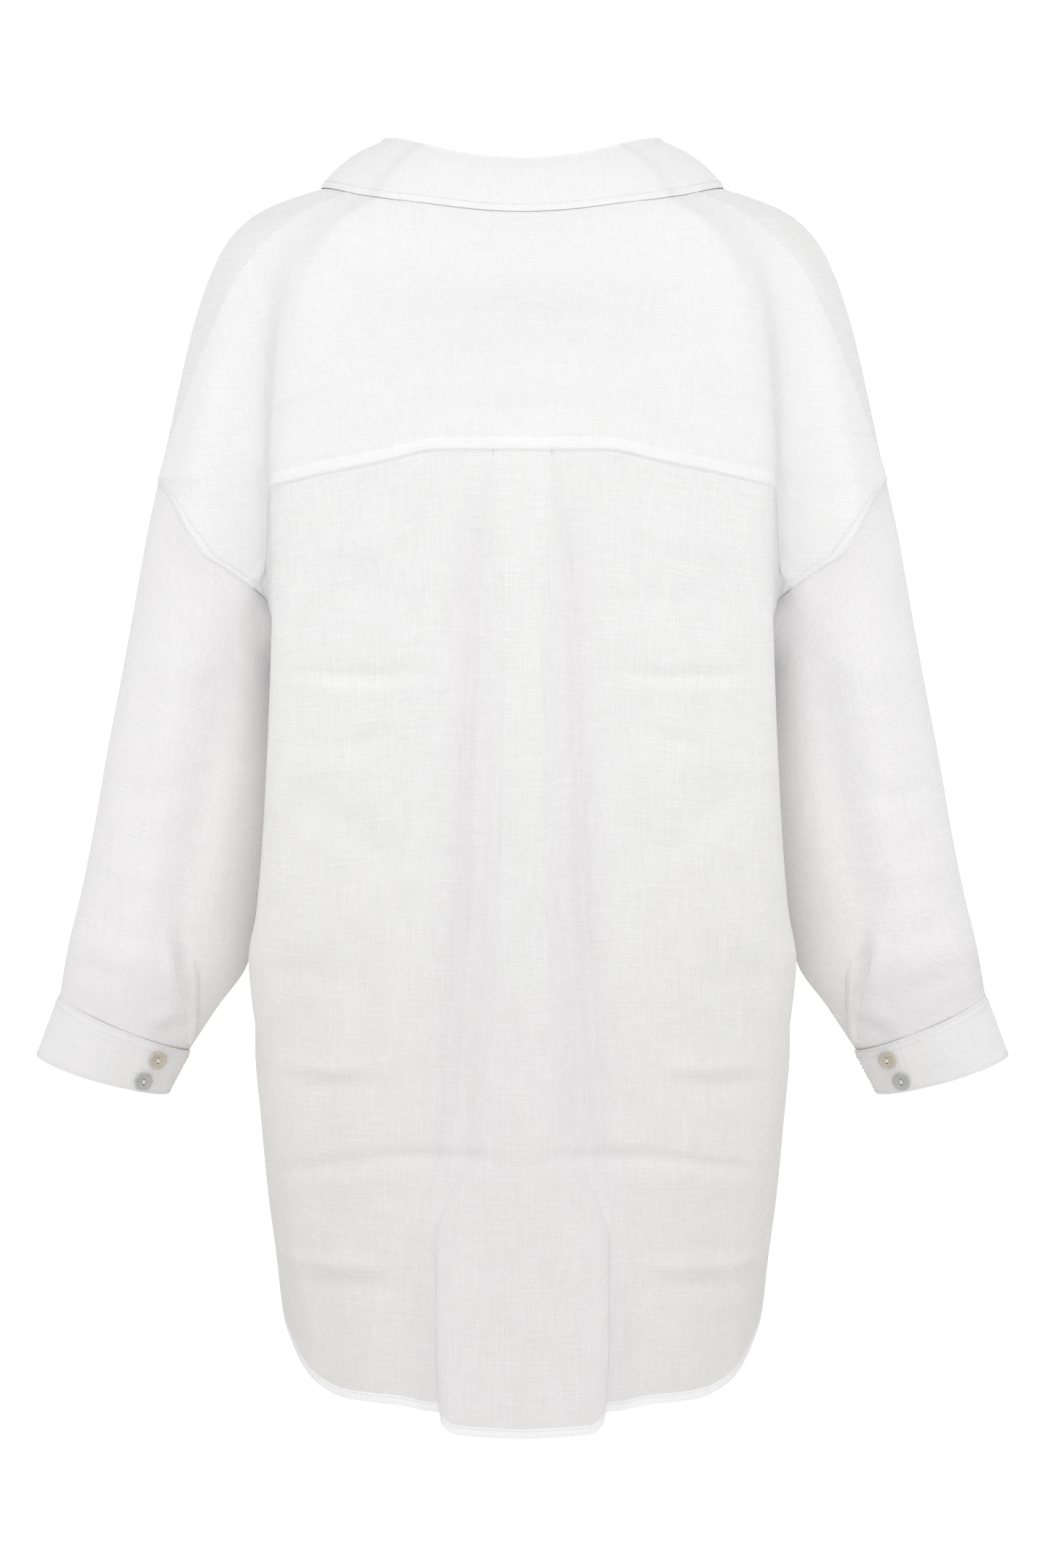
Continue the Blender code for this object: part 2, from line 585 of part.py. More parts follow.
def add_cloth(name, grid, wall, collection, mirrored=False, closed=False, flipped=False):
    """A cloth wall on a grid; mirrored pieces are halves that are open at the middle."""
    item = add_object(name, sheet_mesh(name, grid, closed, flipped), collection, LINEN, 0.85)
    if mirrored:
        for vertex in item.data.vertices:
            if abs(vertex.co.x) < 0.00005:
                vertex.co.x = 0
        mirror = item.modifiers.new("Mirror", "MIRROR")
        mirror.merge_threshold = 0.00001
    solidify = item.modifiers.new("Wall", "SOLIDIFY")
    solidify.thickness = wall
    solidify.offset = 0
    return item


def mirrored_x(grid):
    return grid * np.array((-1, 1, 1))


def add_button(name, side, place, colour, collection):
    """A turned shell button that lies on the cuff's lapped end."""
    turn, down = place
    centre, beside, below = cuff_points(np.array([turn, turn - 0.01, turn]), np.array([down, down, down + 0.02]))
    normal = unit(np.cross(below - centre, beside - centre))
    if normal[1] > 0:
        normal = -normal
    centre = centre + normal * (CLOTH_WALL / 2 + BUTTON_CLEARANCE)
    mesh_builder = bmesh.new()
    chain = [mesh_builder.verts.new((radius * BUTTON_RADIUS, 0, height * BUTTON_HEIGHT))
             for radius, height in BUTTON_PROFILE]
    edges = [mesh_builder.edges.new(pair) for pair in zip(chain, chain[1:])]
    bmesh.ops.spin(mesh_builder, geom=chain + edges, cent=(0, 0, 0), axis=(0, 0, 1), angle=2 * math.pi,
                   steps=BUTTON_STEPS, use_merge=True)
    bmesh.ops.remove_doubles(mesh_builder, verts=mesh_builder.verts, dist=0.00001)
    bmesh.ops.recalc_face_normals(mesh_builder, faces=mesh_builder.faces)
    mesh = bpy.data.meshes.new(name)
    mesh_builder.to_mesh(mesh)
    mesh_builder.free()
    mesh.shade_smooth()
    item = add_object(name, mesh, collection, colour, 0.3)
    item.location = centre * np.array((side, 1, 1))
    aim = np.array((normal[0] * side, normal[1], normal[2]))
    pitch = math.acos(aim[2])
    item.rotation_euler = (0, pitch, math.atan2(aim[1], aim[0]))
    return item


def main():
    clear_scene()
    collection = bpy.data.collections.new("tunic_top")
    bpy.context.scene.collection.children.link(collection)

    yoke, back, front, sleeve = yoke_grid(), back_grid(), front_grid(), sleeve_grid()
    sew(yoke, back, front, sleeve)
    add_cloth("yoke", yoke, DOUBLE_WALL, collection, mirrored=True)
    add_cloth("back_panel", back, CLOTH_WALL, collection, mirrored=True)
    add_cloth("front_panel", front, CLOTH_WALL, collection, mirrored=True, flipped=True)
    add_cloth("collar_stand", stand_grid(), CLOTH_WALL, collection, mirrored=True)
    add_cloth("collar_fall", fall_grid(), CLOTH_WALL, collection, mirrored=True)

    cuff, placket = cuff_grid(), placket_grid()
    for name, side in (("right", 1), ("left", -1)):
        def place(grid):
            return grid if side > 0 else mirrored_x(grid)

        add_cloth("sleeve_" + name, place(sleeve), CLOTH_WALL, collection, closed=True, flipped=side < 0)
        add_cloth("cuff_" + name, place(cuff), CLOTH_WALL, collection, flipped=side < 0)
        add_cloth("placket_" + name, place(placket), CLOTH_WALL, collection, flipped=side < 0)
        for level, colour in (("upper", SHELL_CREAM), ("lower", SHELL_GREY)):
            add_button("button_" + name + "_" + level, side, BUTTON_PLACES[level], colour, collection)


main()
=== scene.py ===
import math

import bmesh
import bpy
import numpy as np
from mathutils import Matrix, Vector


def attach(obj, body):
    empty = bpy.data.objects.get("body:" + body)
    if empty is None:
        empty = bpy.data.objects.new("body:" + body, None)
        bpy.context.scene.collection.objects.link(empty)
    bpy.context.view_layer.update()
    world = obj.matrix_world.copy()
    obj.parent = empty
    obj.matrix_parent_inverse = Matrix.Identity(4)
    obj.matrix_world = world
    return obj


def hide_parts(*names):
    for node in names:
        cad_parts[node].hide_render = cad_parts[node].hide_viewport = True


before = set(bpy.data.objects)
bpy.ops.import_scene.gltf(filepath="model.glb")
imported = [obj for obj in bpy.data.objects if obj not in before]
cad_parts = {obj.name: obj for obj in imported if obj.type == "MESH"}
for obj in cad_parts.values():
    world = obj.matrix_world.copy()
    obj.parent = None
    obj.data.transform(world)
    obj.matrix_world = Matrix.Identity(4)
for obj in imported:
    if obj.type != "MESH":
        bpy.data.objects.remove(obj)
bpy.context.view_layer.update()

MM = 0.001

# Cloth walls, in metres
SINGLE = 0.0009
DOUBLE = 0.0014
CUFF_WALL = 0.0012

# Rows and columns of the sheets
SHOULDER_ROWS = 32
ARMHOLE_ROWS = 20
UNDERARM_ROWS = 24
SIDE_ROWS = 216
SLEEVE_LOOP = (30, 36)
SLEEVE_ROWS = 104
CUFF_COLUMNS = 110
CUFF_ROWS = 14
COLUMN_STEPS = {"yoke": 5, "back": 4, "front": 6, "collar": 3}
UNDERARM_ROW = SHOULDER_ROWS + ARMHOLE_ROWS + UNDERARM_ROWS
FRONT_UNDERARM_LEVEL = 340

# Where each named point of a section lies round the torso
ROUND_NAMES = ("middle", "panel", "before_fold", "fold", "valley", "arm", "side")
ROUND_AT = (0.0, 0.3, 0.5, 0.56, 0.64, 0.82, 1.0)
FOLD = 0.56
VALLEY = 0.64

# Shoulder line and side: level, height, half width
SIDE_COLUMNS = ("level", "z", "x")
SIDE_SECTIONS = (
    (10, 9, 90), (22, 0, 142), (40, -19, 190), (60, -41, 210), (80, -64, 221), (110, -102, 233),
    (146, -146, 243), (190, -190, 252.5), (240, -240, 265), (276, -276, 270), (290, -290, 174),
    (325, -325, 162), (340, -340, 154), (380, -380, 148), (456, -456, 150), (507, -507, 158),
    (540, -540, 172), (600, -600, 185), (654, -654, 182), (705, -705, 178), (780, -780, 169),
    (880, -880, 163),
)

# Sections of the back and of the front: level, then height and depth at the middle, then the
# fold beside the panel, the valley behind it and the round of the upper arm
HALF_COLUMNS = ("level", "z", "middle_y", "fold_x", "fold_y", "valley_x", "valley_y", "arm_x", "arm_y")
BACK_SECTIONS = (
    (10, -8, -74, 66, -50, 73, -41, 84, -22),
    (22, -22, -104, 108, -76, 118, -64, 134, -36),
    (40, -42, -112, 138, -85, 150, -70, 176, -40),
    (60, -62, -116, 152, -92, 165, -73, 195, -42),
    (80, -82, -118, 161, -97, 173, -74, 205, -46),
    (110, -110, -120, 168, -100, 179, -72, 213, -50),
    (146, -146, -122, 172, -102, 181, -66, 219, -53),
    (190, -190, -124, 175, -103, 182, -60, 224, -55),
    (240, -240, -124, 174, -102, 181, -54, 226, -57),
    (276, -276, -123.5, 174, -100, 179, -51, 228, -57),
    (290, -290, -123, 174, -99, 178, -49, 176, -26),
    (325, -325, -122.5, 175, -97, 168, -50, 161, -25),
    (380, -380, -122, 177, -94, 160, -50, 150, -25),
    (456, -456, -121, 181, -89, 164, -48, 153, -24),
    (507, -507, -120, 185.5, -84, 172, -45, 162, -22),
    (540, -540, -119.5, 191, -76, 184, -42, 176, -20),
    (600, -600, -119, 185, -66, 187.3, -42, 186, -20),
    (654, -654, -118.5, 180, -68, 183, -42, 182.5, -20),
    (705, -705, -118, 173, -70, 178, -43, 178, -21),
    (780, -780, -117.5, 162, -70, 168, -42, 169, -20),
    (880, -880, -117, 150, -66, 160, -42, 163, -20),
)
FRONT_SECTIONS = (
    (10, -60, 70, 66, 45, 73, 38, 84, 20),
    (22, -72, 92, 104, 66, 115, 56, 132, 32),
    (40, -85, 100, 132, 76, 146, 62, 174, 36),
    (60, -98, 106, 146, 84, 160, 66, 193, 38),
    (80, -112, 110, 154, 88, 167, 68, 203, 42),
    (110, -132, 115, 160, 92, 172, 67, 211, 46),
    (146, -158, 119, 164, 95, 175, 63, 217, 50),
    (190, -194, 122, 167, 96, 177, 58, 222, 54),
    (240, -240, 123, 168, 95, 178, 54, 225, 57),
    (276, -276, 123, 168, 94, 177, 52, 227, 58),
    (290, -290, 122, 168, 93, 176, 48, 176, 25),
    (325, -325, 121, 169, 90, 165, 48, 161, 25),
    (380, -380, 120, 170, 86, 157, 48, 150, 25),
    (456, -456, 118, 172, 80, 160, 46, 153, 24),
    (507, -507, 117, 175, 76, 166, 44, 161, 22),
    (540, -540, 116, 178, 72, 174, 42, 173, 20),
    (600, -600, 115, 178, 68, 182, 42, 185, 20),
    (654, -654, 115, 175, 66, 180, 42, 182, 20),
    (705, -705, 114, 170, 66, 176, 42, 178, 20),
    (780, -780, 113, 160, 66, 166, 42, 169, 20),
    (880, -880, 112, 150, 64, 158, 42, 163, 20),
)

# Seams on the torso, each a line through places given as round and level
SHOULDER_SEAM = ((0.70, 10), (0.70, 22), (0.72, 40), (0.76, 60), (0.80, 80), (0.86, 110),
                 (0.92, 146), (0.96, 175), (1.0, 203))
ARMHOLE_UPPER = ((1.0, 203), (0.92, 214), (0.885, 226), (0.85, 242), (0.80, 259), (0.76, 266),
                 (0.73, 273), (0.70, 281))
ARMHOLE_LOWER = ((0.70, 281), (0.73, 297), (0.84, 314), (1.0, 325))
YOKE_EDGE = ((0.0, 187), (0.18, 187), (0.3, 195), (0.5, 209), (0.56, 213), (0.6, 243), (0.64, 268),
             (0.70, 281), (1.4, 281))
V_NECK = ((0.0, 150), (0.06, 115), (0.12, 80), (0.2, 48), (0.3, 24), (0.4, 15), (0.5, 11), (0.64, 10),
          (1.4, 10))
BACK_HEM = ((0.0, 871), (0.07, 868), (0.10, 860), (0.13, 854), (0.17, 852), (0.3, 848), (0.42, 844),
            (0.5, 833), (0.56, 815), (0.64, 790), (1.0, 745))
BACK_TOP = ((0.0, 187), (0.236, 187), (0.3, 195), (0.5, 209), (0.56, 213), (0.6, 243), (0.64, 268),
            (0.70, 281), (1.4, 281))
FRONT_HEM = ((0.0, 800), (0.3, 797), (0.5, 785), (0.56, 774), (0.64, 762), (1.0, 745))
NECK_LEVEL = 10

# Centre box pleat: level, half width of the box, how far it stands out, how far its edge turns
# back under it, and the place and depth of the valley beside it
PLEAT_COLUMNS = ("level", "edge", "height", "turn", "valley_x", "valley_depth")
PLEAT_SECTIONS = (
    (187, 20, 0.0, 0, 23, 0),
    (200, 20, 2.4, 0, 24.5, 0.6),
    (225, 20, 4.5, 0, 27, 2),
    (290, 20, 6.5, 0, 34, 5),
    (400, 21, 7.5, 0, 39, 7.5),
    (500, 23, 8.5, 0, 43, 8.5),
    (570, 28, 8.5, 0, 48, 8),
    (675, 37, 7.5, 0, 56, 6),
    (705, 50, 6.5, 1, 64, 4),
    (735, 60, 6.5, 2, 71, 2.5),
    (800, 60, 7.5, 4, 70, 2),
    (880, 56, 8.0, 5, 66, 1),
)
PLEAT_SOFT_LEVELS = (187, 215, 300, 660, 720, 871)
PLEAT_SOFTNESS = (0, 0.4, 1, 1, 0.8, 0.6)
PLEAT_AT = (0.0, 0.05, 0.085, 0.105, 0.13, 0.155, 0.175, 0.3)

# Columns across half of each panel, as places on the round before the fold
BACK_PLACES = (0, 0.045, 0.085, 0.096, 0.108, 0.13, 0.149, 0.16, 0.18, 0.24, 0.32, 0.4, 0.46, 0.51)
YOKE_PLACES = (0, 0.09, 0.18, 0.24, 0.32, 0.4, 0.46, 0.51)
FRONT_PLACES = (0, 0.08, 0.16, 0.24, 0.32, 0.4, 0.48)
CLIFF_PLACES = (FOLD, 0.6, VALLEY)
BEYOND_VALLEY = (1 / 3, 2 / 3, 1.0)

# Sleeve sections: share of the way down, outer and inner points seen from behind, depth of the
# middle, half depth, and how far the section drops towards the back
SLEEVE_COLUMNS = ("share", "outer_x", "outer_z", "inner_x", "inner_z", "middle_y", "half_depth", "back_drop")
SLEEVE_SECTIONS = (
    (0.09, 264, -240, 172, -342, 4, 58, 0),
    (0.21, 273, -290, 171, -372, 8, 57, 1),
    (0.34, 283, -345, 170, -408, 10, 56, 2),
    (0.47, 293.6, -400, 172, -444, 13, 55, 3),
    (0.60, 302.5, -451, 178, -482, 16, 54, 4),
    (0.72, 311.5, -495, 186, -518, 19, 52, 5),
    (0.82, 319.5, -527, 194, -546, 22, 49, 6),
    (0.91, 323.5, -548, 214, -574, 25, 41, 6.5),
    (1.00, 326.6, -566.4, 234, -604, 28, 30, 6.5),
)
CUFF_END = (1.00, 342.5, -608.6, 250, -634, 35, 29, 6.5)
CUFF_TURN = 1.1
CUFF_LAP_START = 0.47
CUFF_LAP_OFFSET = 1.7

# Slit strip above the cuff: where its free edge lies, as share down the sleeve and turn round it
PLACKET_EDGE = ((0.80, 0.318), (0.84, 0.334), (0.91, 0.383), (0.96, 0.430), (0.985, 0.452))
PLACKET_WIDTH = 0.044
PLACKET_ROWS = 40
PLACKET_COLUMNS = 8
PLACKET_LIFT = (0.0003, 0.0017)

# Buttons on the cuff: turn round it and share of the way down it
BUTTON_PLACES = {"upper": (0.350, 0.28), "lower": (0.340, 0.76)}
BUTTON_RADIUS = 0.00635
BUTTON_HEIGHT = 0.0024
BUTTON_CLEARANCE = 0.0006
BUTTON_STEPS = 48

# Half a button's outline from its middle: shares of its radius and of its height
BUTTON_PROFILE = ((0, 0), (0.78, 0), (0.97, 0.35), (1.0, 0.6), (0.93, 0.95), (0.78, 1.0), (0.62, 0.8),
                  (0, 0.75))

# Collar stations from the centre back to the front end: place of the neck seam, the fold line
# from the neck seam, and place of the turned-down edge on the cloth below
COLLAR_NAMES = ("neck_round", "fold_dx", "fold_dy", "fold_dz", "edge_round", "edge_level")
COLLAR_STATIONS = (
    (0.0, 0, 6, 27, 0.0, 21),
    (0.3, 3, 6, 27, 0.31, 21),
    (0.6, 7, 5, 29, 0.62, 22),
    (0.95, 8, 3, 27, 0.92, 22),
    (1.25, 6, 6, 23, 1.2, 23),
    (1.5, 1, 10, 20, 1.43, 32),
    (1.7, -3, 11, 13, 1.62, 62),
    (1.88, -4, 10, 7, 1.74, 110),
    (1.98, -1, 9, 4, 1.82, 150),
)
FALL_CLEARANCE = 0.0019
FALL_CROWN = 0.0045
FALL_TUCK = 0.0015
STAND_FOOT_GAP = 0.0018
STAND_HEAD_GAP = 0.0026


# Seam threads and second layers, in metres
STITCH_PITCH = 0.0031
STITCH_LENGTH = 0.0024
THREAD_RADIUS = 0.00024
STITCH_LIFT = 0.0001
HEM_DEPTH = 0.0068
SEAM_BAND = 0.0095
BAND_LIFT = 0.00025
BAND_WALL = 0.0006

CREASE_GAIN = 1.75

# Creases: form, width, height and line, all in millimetres. A line's points are how far from the
# middle and how far below the origin. A soft one is a ridge, or a trough where its height is below
# nought; a step stands proud on its lower side.
BACK_CREASES = (
    ("soft", 5, -1.5, ((70, 343), (110, 344), (156, 342))),
    ("step", 9, 0.7, ((66, 346), (110, 347), (160, 344))),
    ("soft", 6, 1.5, ((98, 613), (130, 616), (168, 612))),
    ("soft", 8, -0.9, ((88, 624), (130, 628), (174, 622))),
    ("soft", 5, -1.7, ((0, 683), (30, 676), (92, 676), (125, 681), (174, 686))),
    ("soft", 9, 0.8, ((40, 690), (92, 690), (125, 694), (172, 700))),
    ("soft", 6, 1.7, ((90, 753), (146, 751), (171, 746))),
    ("soft", 8, -1.0, ((86, 766), (140, 764), (168, 760))),
    ("soft", 5, -1.1, ((90, 380), (122, 394))),
    ("soft", 12, -1.3, ((88, 478), (120, 446), (150, 424))),
    ("soft", 14, 1.2, ((112, 500), (136, 520), (168, 540))),
    ("soft", 10, -1.1, ((120, 560), (150, 548), (176, 552))),
    ("soft", 16, 1.4, ((60, 470), (70, 560), (84, 640))),
    ("soft", 14, -1.2, ((96, 540), (104, 610), (106, 660))),
    ("soft", 10, 0.9, ((70, 236), (112, 252), (150, 262))),
    ("soft", 12, -0.9, ((60, 300), (100, 286), (140, 290))),
    ("soft", 9, 0.8, ((100, 410), (140, 404), (170, 410))),
    ("soft", 9, -0.9, ((14, 800), (20, 826), (24, 850))),
    ("soft", 11, 1.0, ((104, 790), (120, 812), (128, 836))),
    ("soft", 10, -0.8, ((136, 780), (150, 798), (158, 812))),
)
YOKE_CREASES = (
    ("soft", 14, 0.8, ((40, 40), (60, 90), (72, 150))),
    ("soft", 16, -0.8, ((90, 50), (104, 100), (112, 160))),
    ("soft", 12, 0.7, ((140, 80), (150, 130), (158, 180))),
    ("soft", 10, -0.7, ((196, 120), (188, 170), (182, 220))),
    ("soft", 12, 0.8, ((214, 140), (206, 190), (200, 236))),
    ("soft", 8, -0.6, ((70, 24), (100, 40), (140, 56))),
)
FRONT_CREASES = (
    ("soft", 6, -1.5, ((40, 352), (100, 350), (150, 346))),
    ("soft", 7, 1.4, ((20, 604), (90, 609), (160, 606))),
    ("soft", 6, -1.6, ((0, 672), (60, 668), (120, 674), (168, 680))),
    ("soft", 7, 1.3, ((60, 740), (120, 742), (160, 738))),
    ("soft", 14, -1.6, ((60, 190), (110, 250), (160, 300))),
    ("soft", 16, 1.4, ((40, 240), (96, 300), (150, 352))),
    ("soft", 18, 1.6, ((50, 400), (58, 540), (66, 700))),
    ("soft", 18, -1.5, ((92, 420), (98, 560), (104, 720))),
    ("soft", 16, 1.3, ((130, 440), (136, 560), (140, 690))),
    ("soft", 9, -0.9, ((24, 500), (70, 486), (120, 492))),
    ("soft", 12, -1.1, ((10, 300), (20, 420), (22, 560))),
)
SLEEVE_BACK_CREASES = (
    ("soft", 5, -2.2, ((241, 520), (236, 545), (229, 568))),
    ("soft", 7, 1.6, ((250, 524), (246, 548), (240, 572))),
    ("soft", 5, -1.8, ((258, 594), (246, 590), (230, 586))),
    ("soft", 6, 1.3, ((262, 584), (248, 580), (236, 577))),
    ("soft", 14, 1.8, ((232, 290), (246, 380), (262, 480), (272, 548))),
    ("soft", 14, -1.8, ((206, 316), (216, 400), (228, 470), (238, 516))),
    ("soft", 10, -1.2, ((286, 420), (262, 428), (238, 420))),
    ("soft", 10, 1.1, ((296, 470), (272, 482), (250, 480))),
    ("soft", 9, -1.1, ((300, 512), (280, 524), (262, 524))),
    ("soft", 8, -0.9, ((312, 540), (294, 552), (280, 560))),
    ("soft", 12, 1.0, ((262, 330), (240, 340), (216, 334))),
)
SLEEVE_FRONT_CREASES = (
    ("soft", 14, 2.0, ((236, 300), (244, 390), (262, 480), (280, 556))),
    ("soft", 13, -2.0, ((262, 320), (270, 400), (286, 470), (302, 536))),
    ("soft", 9, -1.5, ((196, 420), (224, 434), (262, 430))),
    ("soft", 9, 1.4, ((200, 450), (232, 462), (276, 456))),
    ("soft", 7, -1.3, ((214, 520), (240, 530), (276, 524))),
    ("soft", 6, -1.2, ((246, 586), (270, 576), (296, 566))),
)
CUFF_CREASES = (
    ("soft", 12, 0.5, ((300, 580), (306, 610), (310, 640))),
    ("soft", 9, -0.5, ((272, 590), (278, 616), (282, 640))),
)

# Tints of the cloth, from the brighter doubled pieces to the thinner single ones. The low tints are
# painted shade: darker towards the hem, for light that falls from above and the dark inside seen
# through the thin cloth, and darker still at the body's lower sides, which turn away from the light
LINEN_DOUBLE = (0.848, 0.848, 0.848)
LINEN_SEAM = (0.885, 0.885, 0.890)
LINEN_COLLAR = (0.850, 0.850, 0.850)
LINEN_CUFF = (0.822, 0.812, 0.813)
LINEN_SINGLE = (0.830, 0.828, 0.828)
PAINTED_SHADE_LOW = (0.757, 0.743, 0.744)
PAINTED_SHADE_LOW_SIDE = (0.738, 0.731, 0.712)
# Sleeve tints: painted lighter than the body's single cloth against the shade on the sleeve's turned round,
# painted shade low down, and painted light low beside the body, in the recess
LINEN_SLEEVE = (0.868, 0.855, 0.860)
PAINTED_SHADE_SLEEVE_LOW = (0.828, 0.812, 0.816)
PAINTED_LIGHT_SLEEVE_INNER = (0.945, 0.937, 0.920)

# Stripes of painted light and painted shade down the cloth: painted shade in the valleys beside the box
# pleat, and painted light on the outer yoke, the collar's sides and the sleeve beside the body, where
# shade falls. Each gives distance from the middle, half width, the heights between which it sets in
# and fades, and its tint
VALLEY_PAINTED_SHADE = (0.036, 0.014, (-0.19, -0.30), (-0.60, -0.72), (0.985, 0.966, 0.975))
YOKE_PAINTED_LIGHT = (0.250, 0.070, (0.3, 0.2), (-0.90, -1.00), (1.045, 1.045, 1.045))
COLLAR_PAINTED_LIGHT = (0.125, 0.030, (0.3, 0.2), (-0.90, -1.00), (1.030, 1.030, 1.030))
SLEEVE_PAINTED_LIGHT = (0.186, 0.020, (-0.26, -0.32), (-0.54, -0.62), (1.055, 1.055, 1.050))
THREAD_WHITE = (0.90, 0.90, 0.90)
SHELL_CREAM = ((0.46, 0.40, 0.31), (0.62, 0.57, 0.48))
SHELL_GREY = ((0.38, 0.38, 0.37), (0.50, 0.51, 0.51))

# Button holes, stitch rows on cuff, strip and collar, and the collar's rolled fold, in metres
CLOTH_WALL = 0.0014
CUFF_OVERLAP, CUFF_LIFT = 0.0006, 0.0005
YOKE_BEVELS = ((np.s_[-1], 0.0003, 0),)
COLLAR_BEVELS = ((np.s_[-1], 0.00115, 0.0002),)
CUFF_BEVELS = ((np.s_[0], 0.0008, 0), (np.s_[:, 0], 0.0010, 0), (np.s_[:, -1], 0.0010, 0))
STRIP_BEVEL = 0.0006
BACK_TUCK, TUCK_SINK = 0.006, 0.0020
SLEEVE_TUCK, SLEEVE_SINK = 0.0028, 0.0020
TUCK_SPREAD = 10
HOLE_APART = 0.0032
HOLE_RADIUS = 0.00085
CUFF_STITCHES_TOP = (0.0012, 0.0058)
CUFF_STITCH_END = 0.0022
STRIP_STITCH = 0.0016
COLLAR_STITCH = 0.0050
FOLD_RADIUS = 0.0017

# Stage, camera and light, in metres and watts
FLOOR_Z = -1.35
STAGE_FRONT, STAGE_BACK, STAGE_CURVE = 9.0, 10.5, 1.5
STAGE_TOP, STAGE_HALF = 4.5, 8.0
SENSOR = 36.0
CAMERA_DISTANCE = 8.0
VIEW_HEIGHT = 1.1016
VIEW_MIDDLE_Z = -0.4176
WORLD_STRENGTH = 0.67
LIGHTS = (
    ("front_light", (0.0, -6.0, 0.6), (0, 0, -0.4), (3.4, 2.6), 54),
    ("top_light", (0.0, -1.6, 2.2), (0, 0, -0.5), (1.6, 0.8), 18),
    ("left_light", (-3.2, -1.6, 0.3), (0, 0, -0.4), (1.4, 2.0), 17),
    ("right_light", (3.2, -1.6, 0.3), (0, 0, -0.4), (1.4, 2.0), 17),
    ("backdrop_light", (0.0, 5.5, 3.2), (0, 9.5, -1.0), (8.0, 2.0), 440),
)


def unit(vectors):
    """The vectors at length one."""
    return vectors / np.linalg.norm(vectors, axis=-1, keepdims=True)


def smooth(knots, values, at, end=1.0):
    """A curve through the values that never overshoots them; end scales its end slopes."""
    knots = np.asarray(knots, float)
    values = np.asarray(values, float)
    at = np.clip(np.asarray(at, float), knots[0], knots[-1])
    values = np.broadcast_to(values, at.shape + values.shape[-1:])
    width = np.diff(knots)
    rise = np.diff(values, axis=-1) / width
    before, after = rise[..., :-1], rise[..., 1:]
    same_way = before * after > 0
    inner = np.where(same_way, 2 * before * after / np.where(same_way, before + after, 1), 0)
    slope = np.concatenate([end * rise[..., :1], inner, end * rise[..., -1:]], axis=-1)
    index = np.clip(np.searchsorted(knots, at, side="right") - 1, 0, len(knots) - 2)

    def pick(array, shift=0):
        return np.take_along_axis(array, (index + shift)[..., None], axis=-1)[..., 0]

    step = width[index]
    t = (at - knots[index]) / step
    return (pick(values) * (1 + 2 * t) * (1 - t) ** 2 + pick(slope) * step * t * (1 - t) ** 2
            + pick(values, 1) * t * t * (3 - 2 * t) - pick(slope, 1) * step * t * t * (1 - t))


def column(table, names, name, level):
    """One named column of a table, read at the given levels."""
    rows = np.asarray(table, float)
    return smooth(rows[:, 0], rows[:, names.index(name)], level)


def half_section(table, level):
    """Names each point of half a section and gives its x and y, in millimetres."""
    def read(name):
        return column(table, HALF_COLUMNS, name, level)

    fold_x, fold_y, middle_y = read("fold_x"), read("fold_y"), read("middle_y")
    return {
        "middle": (0 * fold_x, middle_y),
        "panel": (0.55 * fold_x, middle_y + 0.07 * (fold_y - middle_y)),
        "before_fold": (0.925 * fold_x, middle_y + 0.52 * (fold_y - middle_y)),
        "fold": (fold_x, fold_y),
        "valley": (read("valley_x"), read("valley_y")),
        "arm": (read("arm_x"), read("arm_y")),
        "side": (column(SIDE_SECTIONS, SIDE_COLUMNS, "x", level), 0 * fold_x),
    }


def torso(round_at, level):
    """Points of the filled-out torso cloth, in metres."""
    round_at, level = np.broadcast_arrays(np.asarray(round_at, float), np.asarray(level, float))
    back = half_section(BACK_SECTIONS, level)
    front = half_section(FRONT_SECTIONS, level)
    points = [back[name] for name in ROUND_NAMES]
    points += [front[name] for name in reversed(ROUND_NAMES[:-1])]
    knots = ROUND_AT + tuple(2 - place for place in reversed(ROUND_AT[:-1]))
    x = smooth(knots, np.stack([point[0] for point in points], axis=-1), round_at)
    y = smooth(knots, np.stack([point[1] for point in points], axis=-1), round_at, end=0)
    side_z = column(SIDE_SECTIONS, SIDE_COLUMNS, "z", level)
    back_z = column(BACK_SECTIONS, HALF_COLUMNS, "z", level)
    front_z = column(FRONT_SECTIONS, HALF_COLUMNS, "z", level)
    middle_z = np.where(round_at < 1, back_z, front_z)
    near = np.where(round_at < 1, round_at, 2 - round_at)
    z = middle_z + (side_z - middle_z) * near * near * (3 - 2 * near)
    return np.stack([x, y, z], axis=-1) * MM


